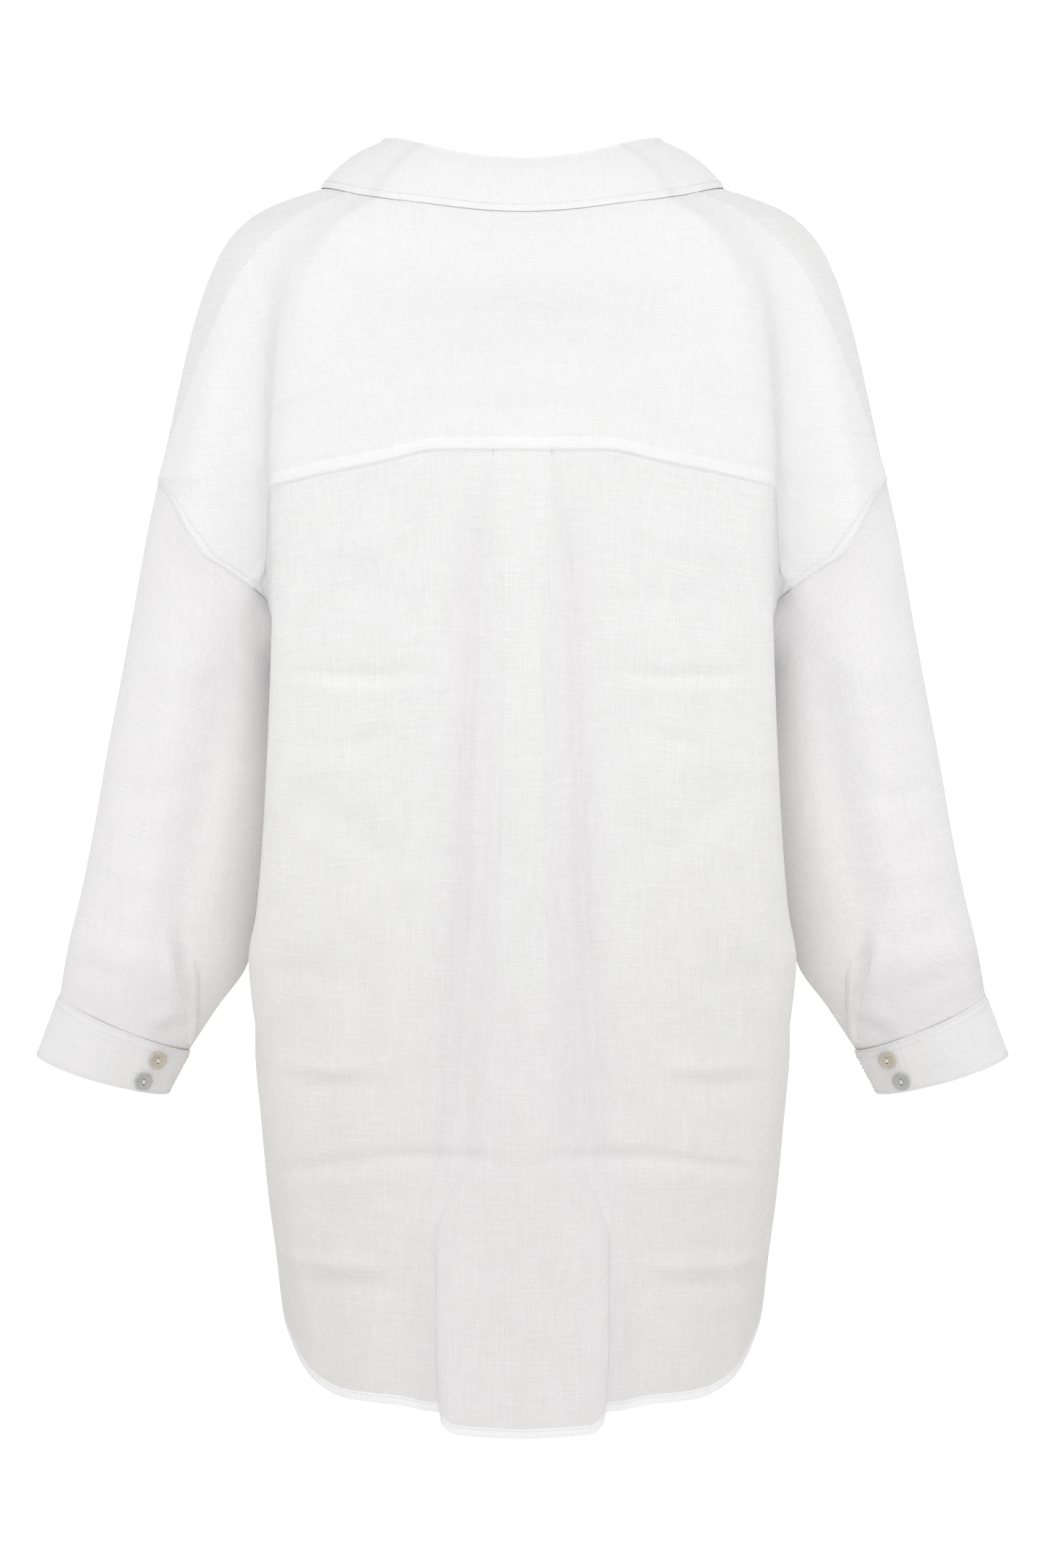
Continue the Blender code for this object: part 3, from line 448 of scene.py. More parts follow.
def pleated_back(round_at, level):
    """Points of the back panel: the torso's back with the box pleat let into its middle."""
    points = torso(round_at, level)

    def read(name):
        return column(PLEAT_SECTIONS, PLEAT_COLUMNS, name, level)

    soft = smooth(PLEAT_SOFT_LEVELS, PLEAT_SOFTNESS, level)
    edge, height, turn = read("edge"), read("height"), read("turn")
    valley_x, valley_depth = read("valley_x"), read("valley_depth")
    end_x = torso(np.full_like(round_at, PLEAT_AT[-1]), level)[..., 0] / MM
    turned = edge - turn + 4.5 * soft
    across = (0 * edge, 0.6 * edge, edge - 1.5 - 4 * soft, edge, turned,
              0.5 * (turned + valley_x) - 0.4 * turn, valley_x, end_x)
    stands = (height, (1 - 0.06 * soft) * height, (1 - 0.22 * soft) * height, (0.78 - 0.26 * soft) * height,
              (0.5 - 0.25 * soft) * height, 0 * height, -valley_depth, 0 * height)
    x = smooth(PLEAT_AT, np.stack(across, axis=-1), round_at)
    out = smooth(PLEAT_AT, np.stack(stands, axis=-1), round_at, end=0)
    inside = round_at < PLEAT_AT[-1]
    flat = torso(np.clip(x / end_x, 0, 1) * PLEAT_AT[-1], level)
    points[..., 0] = np.where(inside, x * MM, points[..., 0])
    points[..., 1] = np.where(inside, flat[..., 1] - out * MM, points[..., 1])
    return points


def along(line, count):
    """Places at even steps along a line of rounds and levels, as two arrays of count + 1."""
    places = np.asarray(line, float)
    at = np.linspace(0, len(places) - 1, count + 1)
    index = np.arange(len(places))
    return smooth(index, places[:, 0], at), smooth(index, places[:, 1], at)


def seam_level(line, round_at):
    """The level of a seam at each place round the torso."""
    places = np.asarray(line, float)
    return smooth(places[:, 0], places[:, 1], round_at)


def all_places(places, out_round, steps):
    """The columns of half a panel, from its middle out to its outer edge."""
    beyond = VALLEY + (out_round - VALLEY) * np.asarray(BEYOND_VALLEY)
    return finer(np.concatenate([places, CLIFF_PLACES, beyond]), steps)


def panel(surface, places, outer, middle_levels, first, last, to_round, steps):
    """A grid of points over half a panel, a row for each outer place, from the middle outwards."""
    outer_round, outer_level = outer
    rows = []
    for out_round, out_level, middle_level in zip(outer_round, outer_level, middle_levels):
        places_round = all_places(places, out_round, steps)
        begin, finish = seam_level(first, places_round), seam_level(last, places_round)
        at_middle = (middle_level - begin[0]) / (finish[0] - begin[0])
        at_outer = (out_level - begin[-1]) / (finish[-1] - begin[-1])
        share = np.minimum(places_round / FOLD, 1) ** 1.5
        level = begin + (finish - begin) * (at_middle * (1 - share) + at_outer * share)
        rows.append(surface(to_round(places_round), level))
    return np.stack(rows)


def yoke_grid():
    shoulder = along(SHOULDER_SEAM, SHOULDER_ROWS)
    armhole = along(ARMHOLE_UPPER, ARMHOLE_ROWS)
    outer = tuple(np.concatenate([shoulder[k], armhole[k][1:]]) for k in range(2))
    middle = np.linspace(NECK_LEVEL, YOKE_EDGE[0][1], len(outer[0]))
    neck = ((0.0, NECK_LEVEL), (1.4, NECK_LEVEL))
    return panel(torso, YOKE_PLACES, outer, middle, neck, YOKE_EDGE, lambda place: place,
                 COLUMN_STEPS["yoke"])


def back_grid():
    armhole = along(ARMHOLE_LOWER, UNDERARM_ROWS)
    side_levels = np.linspace(armhole[1][-1], BACK_HEM[-1][1], SIDE_ROWS + 1)[1:]
    outer = (np.concatenate([armhole[0], np.ones(SIDE_ROWS)]), np.concatenate([armhole[1], side_levels]))
    middle = np.linspace(YOKE_EDGE[0][1], BACK_HEM[0][1], len(outer[0]))
    return panel(pleated_back, BACK_PLACES, outer, middle, BACK_TOP, BACK_HEM, lambda place: place,
                 COLUMN_STEPS["back"])


def front_grid():
    shoulder = along(SHOULDER_SEAM, SHOULDER_ROWS)
    upper, lower = along(ARMHOLE_UPPER, ARMHOLE_ROWS), along(ARMHOLE_LOWER, UNDERARM_ROWS)
    side_levels = np.linspace(lower[1][-1], FRONT_HEM[-1][1], SIDE_ROWS + 1)[1:]
    outer_round = np.concatenate([2 - shoulder[0], upper[0][1:], lower[0][1:], np.ones(SIDE_ROWS)])
    outer_level = np.concatenate([shoulder[1], upper[1][1:], lower[1][1:], side_levels])
    middle = np.concatenate([np.linspace(V_NECK[0][1], FRONT_UNDERARM_LEVEL, UNDERARM_ROW + 1),
                             np.linspace(FRONT_UNDERARM_LEVEL, FRONT_HEM[0][1], SIDE_ROWS + 1)[1:]])
    return panel(torso, FRONT_PLACES, (outer_round, outer_level), middle, V_NECK, FRONT_HEM,
                 lambda place: 2 - place, COLUMN_STEPS["front"])


def armhole_loop():
    """The armhole seam from the shoulder point down the back, under the arm and up the front."""
    upper, lower = along(ARMHOLE_UPPER, SLEEVE_LOOP[0]), along(ARMHOLE_LOWER, SLEEVE_LOOP[1])
    round_at = np.concatenate([upper[0], lower[0][1:]])
    level = np.concatenate([upper[1], lower[1][1:]])
    back = torso(round_at, level)
    front = torso(2 - round_at, level)
    return np.concatenate([back, front[-2:0:-1]])


def turn_places(loop):
    """Where each armhole point lies round the sleeve: 0 outside, 0.25 behind, 0.5 inside."""
    closed = np.concatenate([loop, loop[:1]])
    run = np.concatenate([[0], np.cumsum(np.linalg.norm(np.diff(closed, axis=0), axis=1))])
    half = sum(SLEEVE_LOOP)
    back = 0.5 * run[:half + 1] / run[half]
    front = 0.5 + 0.5 * (run[half + 1:-1] - run[half]) / (run[-1] - run[half])
    return np.concatenate([back, front])


def arm_section(section, turn, offset=0.0):
    """Points round one section of the sleeve or cuff, moved out by an offset in millimetres."""
    _, outer_x, outer_z, inner_x, inner_z, middle_y, half_depth, back_drop = section
    centre = np.array(((outer_x + inner_x) / 2, middle_y, (outer_z + inner_z) / 2))
    across = np.array(((outer_x - inner_x) / 2, 0, (outer_z - inner_z) / 2))
    behind = np.array((0, -half_depth, -back_drop))
    wide, deep = np.linalg.norm(across), np.linalg.norm(behind)
    angle = 2 * math.pi * np.asarray(turn)
    offset = np.broadcast_to(offset, angle.shape)
    out = np.cos(angle)[..., None] * across * (1 + offset / wide)[..., None]
    out = out + np.sin(angle)[..., None] * behind * (1 + offset / deep)[..., None]
    return (centre + out) * MM


def sleeve_points(loop, turn, down):
    """Sleeve points for each armhole place and each share of the way down."""
    sections = np.stack([loop] + [arm_section(section, turn) for section in SLEEVE_SECTIONS], axis=-1)
    stations = [0.0] + [section[0] for section in SLEEVE_SECTIONS]
    rows = [smooth(stations, sections, np.full(sections.shape[:-1], share)) for share in down]
    return np.stack(rows)


def sleeve_grid():
    loop = armhole_loop()
    return sleeve_points(loop, turn_places(loop), np.linspace(0, 1, SLEEVE_ROWS + 1))


def cuff_points(turn, down):
    """Cuff points: a band that winds once round and laps under its own end."""
    share = (CUFF_LAP_START - turn) / CUFF_TURN
    offset = CUFF_LAP_OFFSET * (1 - 2 * share)
    start = arm_section(SLEEVE_SECTIONS[-1], turn, offset)
    end = arm_section(CUFF_END, turn, offset)
    return start + (end - start) * np.asarray(down)[..., None]


def cuff_grid():
    turn = np.linspace(CUFF_LAP_START - CUFF_TURN, CUFF_LAP_START, CUFF_COLUMNS + 1)
    grid = np.stack([cuff_points(turn, share) for share in np.linspace(0, 1, CUFF_ROWS + 1)])
    grid[0] += unit(grid[0] - grid[1]) * CUFF_OVERLAP
    return grid - grid_normals(grid) * CUFF_LIFT


def placket_grid():
    """The strip beside the slit, on the sleeve's points and moved out."""
    sleeve, turn = sleeve_grid(), turn_places(armhole_loop())
    half = turn <= 0.5
    edge = np.asarray(PLACKET_EDGE)
    rows = []
    for share in np.linspace(edge[0, 0], edge[-1, 0], PLACKET_ROWS + 1):
        row = min(int(share * SLEEVE_ROWS), SLEEVE_ROWS - 1)
        ring = sleeve[row] + (sleeve[row + 1] - sleeve[row]) * (share * SLEEVE_ROWS - row)
        at = smooth(edge[:, 0], edge[:, 1], share) - np.linspace(PLACKET_WIDTH, 0, PLACKET_COLUMNS + 1)
        strip = np.stack([np.interp(at, turn[half], ring[half, axis]) for axis in range(3)], axis=-1)
        rows.append(strip)
    grid = np.stack(rows)
    from_top = np.clip(np.arange(PLACKET_ROWS + 1) / 12, 0, 1)[:, None]
    from_seam = np.clip(np.arange(PLACKET_COLUMNS + 1) / 6, 0, 1)[None]
    rise = from_top ** 2 * (3 - 2 * from_top) * from_seam ** 2 * (3 - 2 * from_seam)
    lift = PLACKET_LIFT[0] + (PLACKET_LIFT[1] - PLACKET_LIFT[0]) * rise
    return grid - grid_normals(grid) * lift[..., None]


def neck_rounds():
    """Places round the neck seam, the same as the points of the yoke and the front on it."""
    seam = SHOULDER_SEAM[0][0]
    yoke = all_places(YOKE_PLACES, seam, COLUMN_STEPS["collar"])
    front = 2 - all_places(FRONT_PLACES, 2 - seam, COLUMN_STEPS["collar"])
    return np.concatenate([yoke, front[-2:0:-1], [COLLAR_STATIONS[-1][0]]])


def collar_lines():
    """The neck seam, fold line and turned-down edge of half the collar."""
    rounds = neck_rounds()

    def read(name):
        return column(COLLAR_STATIONS, COLLAR_NAMES, name, rounds)

    neck_level = np.where(rounds < 1, NECK_LEVEL, seam_level(V_NECK, 2 - rounds))
    neck = torso(rounds, neck_level)
    fold = neck + np.stack([read("fold_dx"), read("fold_dy"), read("fold_dz")], axis=-1) * MM
    edge_round, edge_level = read("edge_round"), read("edge_level")
    edge = torso(edge_round, edge_level)
    across = torso(edge_round + 0.01, edge_level) - torso(edge_round - 0.01, edge_level)
    down = torso(edge_round, edge_level + 1) - torso(edge_round, edge_level - 1)
    return neck, fold, edge + unit(np.cross(down, across)) * FALL_CLEARANCE


def finer(places, steps):
    """The places with each gap between them split into equal steps."""
    places = np.asarray(places, float)
    at = np.arange((len(places) - 1) * steps + 1) / steps
    return np.interp(at, np.arange(len(places)), places)


def both_sides(half):
    """A whole panel from its half, mirrored at the middle column."""
    return np.concatenate([half[:, :0:-1] * np.array((-1, 1, 1)), half], axis=1)


def grid_normals(grid, closed=False):
    """Outward unit normals of a grid whose rows run down and whose columns run towards +X."""
    if closed:
        across = np.roll(grid, -1, axis=1) - np.roll(grid, 1, axis=1)
    else:
        across = np.gradient(grid, axis=1)
    return unit(np.cross(np.gradient(grid, axis=0), across))


def measured(grid, closed=False):
    """Cloth places of a grid in metres: how far across and how far down each point lies."""
    steps = np.linalg.norm(np.diff(grid, axis=1), axis=2)
    across = np.concatenate([np.zeros((len(grid), 1)), np.cumsum(steps, axis=1)], axis=1)
    if not closed:
        across = across - across[:, across.shape[1] // 2][:, None]
    drops = np.linalg.norm(np.diff(grid, axis=0), axis=2).mean(axis=1)
    down = np.concatenate([[0], np.cumsum(drops)])
    return np.stack([across, np.broadcast_to(down[:, None], across.shape), 0 * across], axis=-1)


def tapered(along_line):
    """Fades a crease out towards both ends."""
    return np.clip(np.sin(np.pi * np.clip(along_line, 0, 1)), 0, 1) ** 0.6


def crease_height(at, creases, gain=CREASE_GAIN):
    """Height in millimetres that the creases give each point; a point is two numbers in
    millimetres, and a crease is a form, a width, a depth and a line of points."""
    height = np.zeros(at.shape[:-1])
    for form, width, depth, line in creases:
        line = np.asarray(line, float)
        lengths = np.linalg.norm(np.diff(line, axis=0), axis=1)
        total, run = lengths.sum(), 0.0
        nearest = np.full(at.shape[:-1], 1e9)
        signed = np.zeros(at.shape[:-1])
        share = np.zeros(at.shape[:-1])
        for start, end, length in zip(line, line[1:], lengths):
            way = (end - start) / length
            from_start = at - start
            t = np.clip(from_start @ way, 0, length)
            off = from_start - t[..., None] * way
            distance = np.linalg.norm(off, axis=-1)
            closer = distance < nearest
            side = off[..., 0] * -way[1] + off[..., 1] * way[0]
            nearest = np.where(closer, distance, nearest)
            signed = np.where(closer, np.copysign(distance, side), signed)
            share = np.where(closer, (run + t) / total, share)
            run += length
        s = signed / width
        if form == "step":
            shape = s * np.exp(0.5 - s * s)
        else:
            shape = np.exp(-s * s)
        height += depth * shape * tapered(share * 0.96 + 0.02)
    return height * gain


def make_shell(name, grid, wall, material, closed=False, cloth=None, bevels=()):
    """A thin cloth shell whose outer face is the grid; rows run down, columns towards +X. A bevel
    is an edge, given as an index of rows and columns, and how far the outer face and the inner face
    sink there."""
    rows, columns = grid.shape[:2]
    normal = grid_normals(grid, closed)
    if cloth is None:
        cloth = measured(grid, closed)
    face, lining = grid.copy(), grid - normal * wall
    for edge, sink_outer, sink_inner in bevels:
        face[edge] -= normal[edge] * sink_outer
        lining[edge] -= normal[edge] * sink_inner
    outer, inner = face.reshape(-1, 3), lining.reshape(-1, 3)
    place = np.arange(rows * columns).reshape(rows, columns)
    if closed:
        place = np.concatenate([place, place[:, :1]], axis=1)
    a, b, c, d = (part.ravel() for part in (place[:-1, :-1], place[1:, :-1], place[1:, 1:], place[:-1, 1:]))
    count = rows * columns
    quads = [np.stack([a, b, c, d], 1), np.stack([d, c, b, a], 1) + count]
    rims = [place[0, ::-1], place[-1]]
    if not closed:
        rims += [place[:, 0], place[::-1, -1]]
    for rim in rims:
        quads.append(np.stack([rim[:-1], rim[:-1] + count, rim[1:] + count, rim[1:]], 1))
    faces = np.concatenate(quads)
    mesh = bpy.data.meshes.new(name)
    mesh.vertices.add(2 * count)
    mesh.vertices.foreach_set("co", np.concatenate([outer, inner]).ravel())
    mesh.loops.add(4 * len(faces))
    mesh.loops.foreach_set("vertex_index", faces.ravel())
    mesh.polygons.add(len(faces))
    mesh.polygons.foreach_set("loop_start", np.arange(0, 4 * len(faces), 4))
    mesh.update(calc_edges=True)
    places = mesh.attributes.new("cloth_at", "FLOAT_VECTOR", "POINT")
    places.data.foreach_set("vector", np.concatenate([cloth.reshape(-1, 3)] * 2).ravel())
    mesh.shade_smooth()
    mesh.set_sharp_from_angle(angle=math.radians(62))
    mesh.validate()
    return add_piece(name, mesh, material)


def add_piece(name, mesh, material):
    mesh.materials.append(material)
    piece = bpy.data.objects.new(name, mesh)
    bpy.context.scene.collection.objects.link(piece)
    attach(piece, "root")
    return piece


def at_index(field, row, column):
    """Values of a grid at fractional rows and columns."""
    rows, columns = field.shape[:2]
    r = np.clip(np.floor(row).astype(int), 0, rows - 2)
    c = np.clip(np.floor(column).astype(int), 0, columns - 2)
    u, v = (row - r)[:, None], (column - c)[:, None]
    return ((field[r, c] * (1 - u) + field[r + 1, c] * u) * (1 - v)
            + (field[r, c + 1] * (1 - u) + field[r + 1, c + 1] * u) * v)


def inset_rows(grid, distance, columns, from_last=True):
    """Fractional rows that lie a distance in from the last or first row, one for each column."""
    order = grid[::-1] if from_last else grid
    found = []
    for column_at in columns:
        line = order[:, int(round(column_at))]
        run = np.concatenate([[0], np.cumsum(np.linalg.norm(np.diff(line, axis=0), axis=1))])
        row = np.interp(distance, run, np.arange(len(run)))
        found.append(len(grid) - 1 - row if from_last else row)
    return np.array(found)


def inset_columns(grid, distance, rows, from_last=True):
    """Fractional columns that lie a distance in from the last or first column, one for each row."""
    turned = np.swapaxes(grid, 0, 1)
    return inset_rows(turned, distance, rows, from_last)


def even_line(points, normals, pitch):
    """The line's points and normals at even steps."""
    run = np.concatenate([[0], np.cumsum(np.linalg.norm(np.diff(points, axis=0), axis=1))])
    at = np.arange(pitch / 2, run[-1], pitch)
    where = [np.stack([np.interp(at, run, field[:, k]) for k in range(3)], axis=-1)
             for field in (points, normals)]
    ahead = np.stack([np.interp(at + pitch / 4, run, points[:, k]) for k in range(3)], axis=-1)
    behind = np.stack([np.interp(at - pitch / 4, run, points[:, k]) for k in range(3)], axis=-1)
    return where[0], unit(where[1]), unit(ahead - behind)


def make_stitches(name, lines, material):
    """Rows of thread stitches that lie on the cloth, each a small closed bar with a bowed back."""
    stations = ((-0.5, -0.25), (-0.3, 0.55), (0.3, 0.55), (0.5, -0.25))
    verts, faces = [], []
    for points, normals in lines:
        spots, ups, ways = even_line(points, normals, STITCH_PITCH)
        for spot, up, way in zip(spots, ups, ways):
            side = np.cross(way, up)
            first = len(verts)
            for far, lift in stations:
                middle = spot + way * far * STITCH_LENGTH + up * lift * THREAD_RADIUS
                for angle in range(4):
                    turn = math.pi / 2 * angle + math.pi / 4
                    verts.append(middle + (side * math.cos(turn) + up * math.sin(turn)) * THREAD_RADIUS)
            for k in range(len(stations) - 1):
                for angle in range(4):
                    after = (angle + 1) % 4
                    base = first + 4 * k
                    faces.append((base + angle, base + after, base + 4 + after, base + 4 + angle))
            faces.append(tuple(first + angle for angle in (3, 2, 1, 0)))
            last = first + 4 * (len(stations) - 1)
            faces.append(tuple(last + angle for angle in (0, 1, 2, 3)))
    mesh = bpy.data.meshes.new(name)
    mesh.from_pydata([tuple(vert) for vert in verts], [], faces)
    mesh.shade_smooth()
    piece = add_piece(name, mesh, material)
    return piece


def line_on(sheet, row, column, lift):
    """Points and normals along a line of a sheet, lifted off it."""
    points = at_index(sheet["grid"], row, column)
    normals = unit(at_index(sheet["normal"], row, column))
    return points + normals * lift, normals


def make_band(name, sheet, lines, lift, wall, material):
    """A second layer of cloth over part of a sheet, between lines of rows and columns."""
    points, cloth = [], []
    for index, (row, column) in enumerate(lines):
        edge = index in (0, len(lines) - 1)
        points.append(line_on(sheet, row, column, lift * (0.15 if edge else 1.0))[0])
        cloth.append(at_index(sheet["cloth"], row, column))
    piece = make_shell(name, np.stack(points), wall, material, cloth=np.stack(cloth))
    return piece


def shader_of(material):
    material.use_nodes = True
    return material.node_tree.nodes["Principled BSDF"]


def linen(name, top, low=None, beside=None, beside_from=0.0, beside_to=1.0, contrast=1.0, stripe=None):
    """Plain-weave linen: uneven warp and weft threads, slubs and soft cloudiness. Its tint runs from
    top at the yoke's edge to low at the hem, and low turns to beside between two distances from the
    middle. A darker low paints in shade lower down, and beside paints in shade at the body's lower
    sides and light low on the sleeve beside the body. A stripe multiplies a band of painted light or
    painted shade into the tint."""
    low = low or top
    beside = beside or low
    material = bpy.data.materials.new(name)
    shader = shader_of(material)
    nodes, links = material.node_tree.nodes, material.node_tree.links

    def node(kind, **values):
        made = nodes.new(kind)
        for key, value in values.items():
            setattr(made, key, value)
        return made

    def calculate(operation, *inputs, clamp=False):
        made = node("ShaderNodeMath", operation=operation, use_clamp=clamp)
        for index, value in enumerate(inputs):
            if isinstance(value, (int, float)):
                made.inputs[index].default_value = value
            else:
                links.new(value, made.inputs[index])
        return made.outputs[0]

    cloth = node("ShaderNodeAttribute", attribute_name="cloth_at")

    def threads(across, down, detail=2.0):
        """Streaks as wide as across and as long as down, in millimetres."""
        mapping = node("ShaderNodeMapping")
        mapping.inputs["Scale"].default_value = (1 / (across * MM), 1 / (down * MM), 1)
        noise = node("ShaderNodeTexNoise")
        noise.inputs["Scale"].default_value = 1.0
        noise.inputs["Detail"].default_value = detail
        links.new(cloth.outputs["Vector"], mapping.inputs["Vector"])
        links.new(mapping.outputs["Vector"], noise.inputs["Vector"])
        return noise.outputs["Fac"]

    def weave(axis):
        """Single threads, 0.9 mm apart."""
        parts = node("ShaderNodeSeparateXYZ")
        links.new(cloth.outputs["Vector"], parts.inputs[0])
        turned = calculate("MULTIPLY", parts.outputs[axis], 2 * math.pi / (0.9 * MM))
        return calculate("SINE", turned)

    warp, weft = threads(1.1, 26), threads(24, 1.1)
    slub_warp, slub_weft = threads(1.6, 60, 1.0), threads(46, 1.7, 1.0)
    cloud = threads(30, 44, 3.0)
    streaks = calculate("ADD", calculate("SUBTRACT", warp, 0.5), calculate("SUBTRACT", weft, 0.5))
    slubs = calculate("ADD", calculate("MULTIPLY", calculate("SUBTRACT", slub_warp, 0.58, clamp=True), 1.6),
                      calculate("MULTIPLY", calculate("SUBTRACT", slub_weft, 0.58, clamp=True), 1.6))
    tone = calculate("MULTIPLY_ADD", streaks, 0.30 * contrast, 1.0)
    tone = calculate("MULTIPLY_ADD", calculate("SUBTRACT", cloud, 0.5), 0.16 * contrast, tone)
    tone = calculate("MULTIPLY_ADD", slubs, 0.28 * contrast, tone)

    # Painted shade and light by height and side: the tint falls from top to low down the cloth, and turns to
    # beside between two distances from the middle
    place = node("ShaderNodeTexCoord")
    parts = node("ShaderNodeSeparateXYZ")
    links.new(place.outputs["Object"], parts.inputs[0])
    fall = node("ShaderNodeMapRange", interpolation_type="SMOOTHSTEP")
    fall.inputs["From Min"].default_value = -0.25
    fall.inputs["From Max"].default_value = -0.80
    links.new(parts.outputs["Z"], fall.inputs["Value"])
    apart = node("ShaderNodeMapRange", interpolation_type="SMOOTHSTEP")
    apart.inputs["From Min"].default_value = beside_from
    apart.inputs["From Max"].default_value = beside_to
    links.new(calculate("ABSOLUTE", parts.outputs["X"]), apart.inputs["Value"])
    lower = node("ShaderNodeMix", data_type="RGBA")
    lower.inputs[6].default_value = (*low, 1)
    lower.inputs[7].default_value = (*beside, 1)
    links.new(apart.outputs["Result"], lower.inputs[0])
    tint = node("ShaderNodeMix", data_type="RGBA")
    tint.inputs[6].default_value = (*top, 1)
    links.new(lower.outputs[2], tint.inputs[7])
    links.new(fall.outputs["Result"], tint.inputs[0])
    colour = node("ShaderNodeVectorMath", operation="SCALE")
    links.new(tint.outputs[2], colour.inputs[0])
    # A stripe multiplies a band of painted light (tint above one) or painted shade (tint below one) into the
    # tint
    if stripe:
        middle, half_width, sets_in, fades, painted_tint = stripe
        off = calculate("MULTIPLY_ADD", calculate("ABSOLUTE", parts.outputs["X"]), 1 / half_width,
                        -middle / half_width)
        share = calculate("EXPONENT", calculate("MULTIPLY", calculate("MULTIPLY", off, off), -1.0))
        for from_z, to_z in (sets_in, fades[::-1]):
            reach = node("ShaderNodeMapRange", interpolation_type="SMOOTHSTEP")
            reach.inputs["From Min"].default_value = from_z
            reach.inputs["From Max"].default_value = to_z
            links.new(parts.outputs["Z"], reach.inputs["Value"])
            share = calculate("MULTIPLY", share, reach.outputs["Result"])
        shaded = node("ShaderNodeMix", data_type="RGBA", blend_type="MULTIPLY")
        shaded.inputs[7].default_value = (*painted_tint, 1)
        links.new(share, shaded.inputs[0])
        links.new(tint.outputs[2], shaded.inputs[6])
        links.new(shaded.outputs[2], colour.inputs[0])
    links.new(tone, colour.inputs["Scale"])
    links.new(colour.outputs[0], shader.inputs["Base Color"])

    height = calculate("ADD", calculate("MULTIPLY", streaks, 1.0), calculate("MULTIPLY", slubs, 1.2))
    single = calculate("MULTIPLY", calculate("ADD", weave(0), weave(1)), 0.12)
    bump = node("ShaderNodeBump")
    bump.inputs["Strength"].default_value = 0.55
    bump.inputs["Distance"].default_value = 0.0006
    links.new(calculate("ADD", height, single), bump.inputs["Height"])
    links.new(bump.outputs["Normal"], shader.inputs["Normal"])
    shader.inputs["Roughness"].default_value = 0.88
    shader.inputs["Sheen Weight"].default_value = 0.55
    shader.inputs["Sheen Roughness"].default_value = 0.5
    shader.inputs["Specular IOR Level"].default_value = 0.25
    return material


def shell_material(name, colour, vein):
    """Polished shell: soft clouds of two tints under a thin coat."""
    material = bpy.data.materials.new(name)
    shader = shader_of(material)
    nodes, links = material.node_tree.nodes, material.node_tree.links
    place = nodes.new("ShaderNodeTexCoord")
    cloud = nodes.new("ShaderNodeTexNoise")
    cloud.inputs["Scale"].default_value = 260.0
    cloud.inputs["Detail"].default_value = 3.0
    cloud.inputs["Distortion"].default_value = 1.2
    links.new(place.outputs["Object"], cloud.inputs["Vector"])
    mix = nodes.new("ShaderNodeMix")
    mix.data_type = "RGBA"
    mix.inputs[6].default_value = (*colour, 1)
    mix.inputs[7].default_value = (*vein, 1)
    links.new(cloud.outputs["Fac"], mix.inputs[0])
    links.new(mix.outputs[2], shader.inputs["Base Color"])
    shader.inputs["Roughness"].default_value = 0.22
    shader.inputs["Coat Weight"].default_value = 0.4
    return material


def thread_material():
    """Spun thread: a fine twist along white cotton."""
    material = bpy.data.materials.new("thread")
    shader = shader_of(material)
    nodes, links = material.node_tree.nodes, material.node_tree.links
    place = nodes.new("ShaderNodeTexCoord")
    noise = nodes.new("ShaderNodeTexNoise")
    noise.inputs["Scale"].default_value = 900.0
    links.new(place.outputs["Object"], noise.inputs["Vector"])
    mix = nodes.new("ShaderNodeMix")
    mix.data_type = "RGBA"
    mix.inputs[6].default_value = (*(0.9 * value for value in THREAD_WHITE), 1)
    mix.inputs[7].default_value = (*THREAD_WHITE, 1)
    links.new(noise.outputs["Fac"], mix.inputs[0])
    links.new(mix.outputs[2], shader.inputs["Base Color"])
    shader.inputs["Roughness"].default_value = 0.8
    return material


def raised(grid, creases, facing, closed=False):
    """The grid with its creases, on the side that faces -Y (-1) or +Y (1)."""
    normal = grid_normals(grid, closed)
    at = np.stack([np.abs(grid[..., 0]), -grid[..., 2]], axis=-1) / MM
    share = np.clip(normal[..., 1] * facing * 3, 0, 1)
    height = crease_height(at, creases) * share
    return grid + normal * (height * MM)[..., None]


def tucked(grid, reach, sink, closed=False, from_last=False):
    """The grid with two more rows that run on under the next piece, sunk below its own face."""
    order = grid[::-1] if from_last else grid
    normal = grid_normals(grid, closed)[-1 if from_last else 0]
    if not closed:
        wide = np.pad(normal, ((TUCK_SPREAD, TUCK_SPREAD), (0, 0)), mode="edge")
        normal = unit(sum(wide[k:k + len(normal)] for k in range(2 * TUCK_SPREAD + 1)))
    ahead = unit(order[0] - order[1])
    edge = order[0] + ahead * 0.4 * reach - normal * 0.35 * sink
    end = order[0] + ahead * reach - normal * sink
    order = np.concatenate([end[None], edge[None], order])
    return order[::-1] if from_last else order


def sheet_of(grid, closed=False):
    return {"grid": grid, "normal": grid_normals(grid, closed), "cloth": measured(grid, closed)}


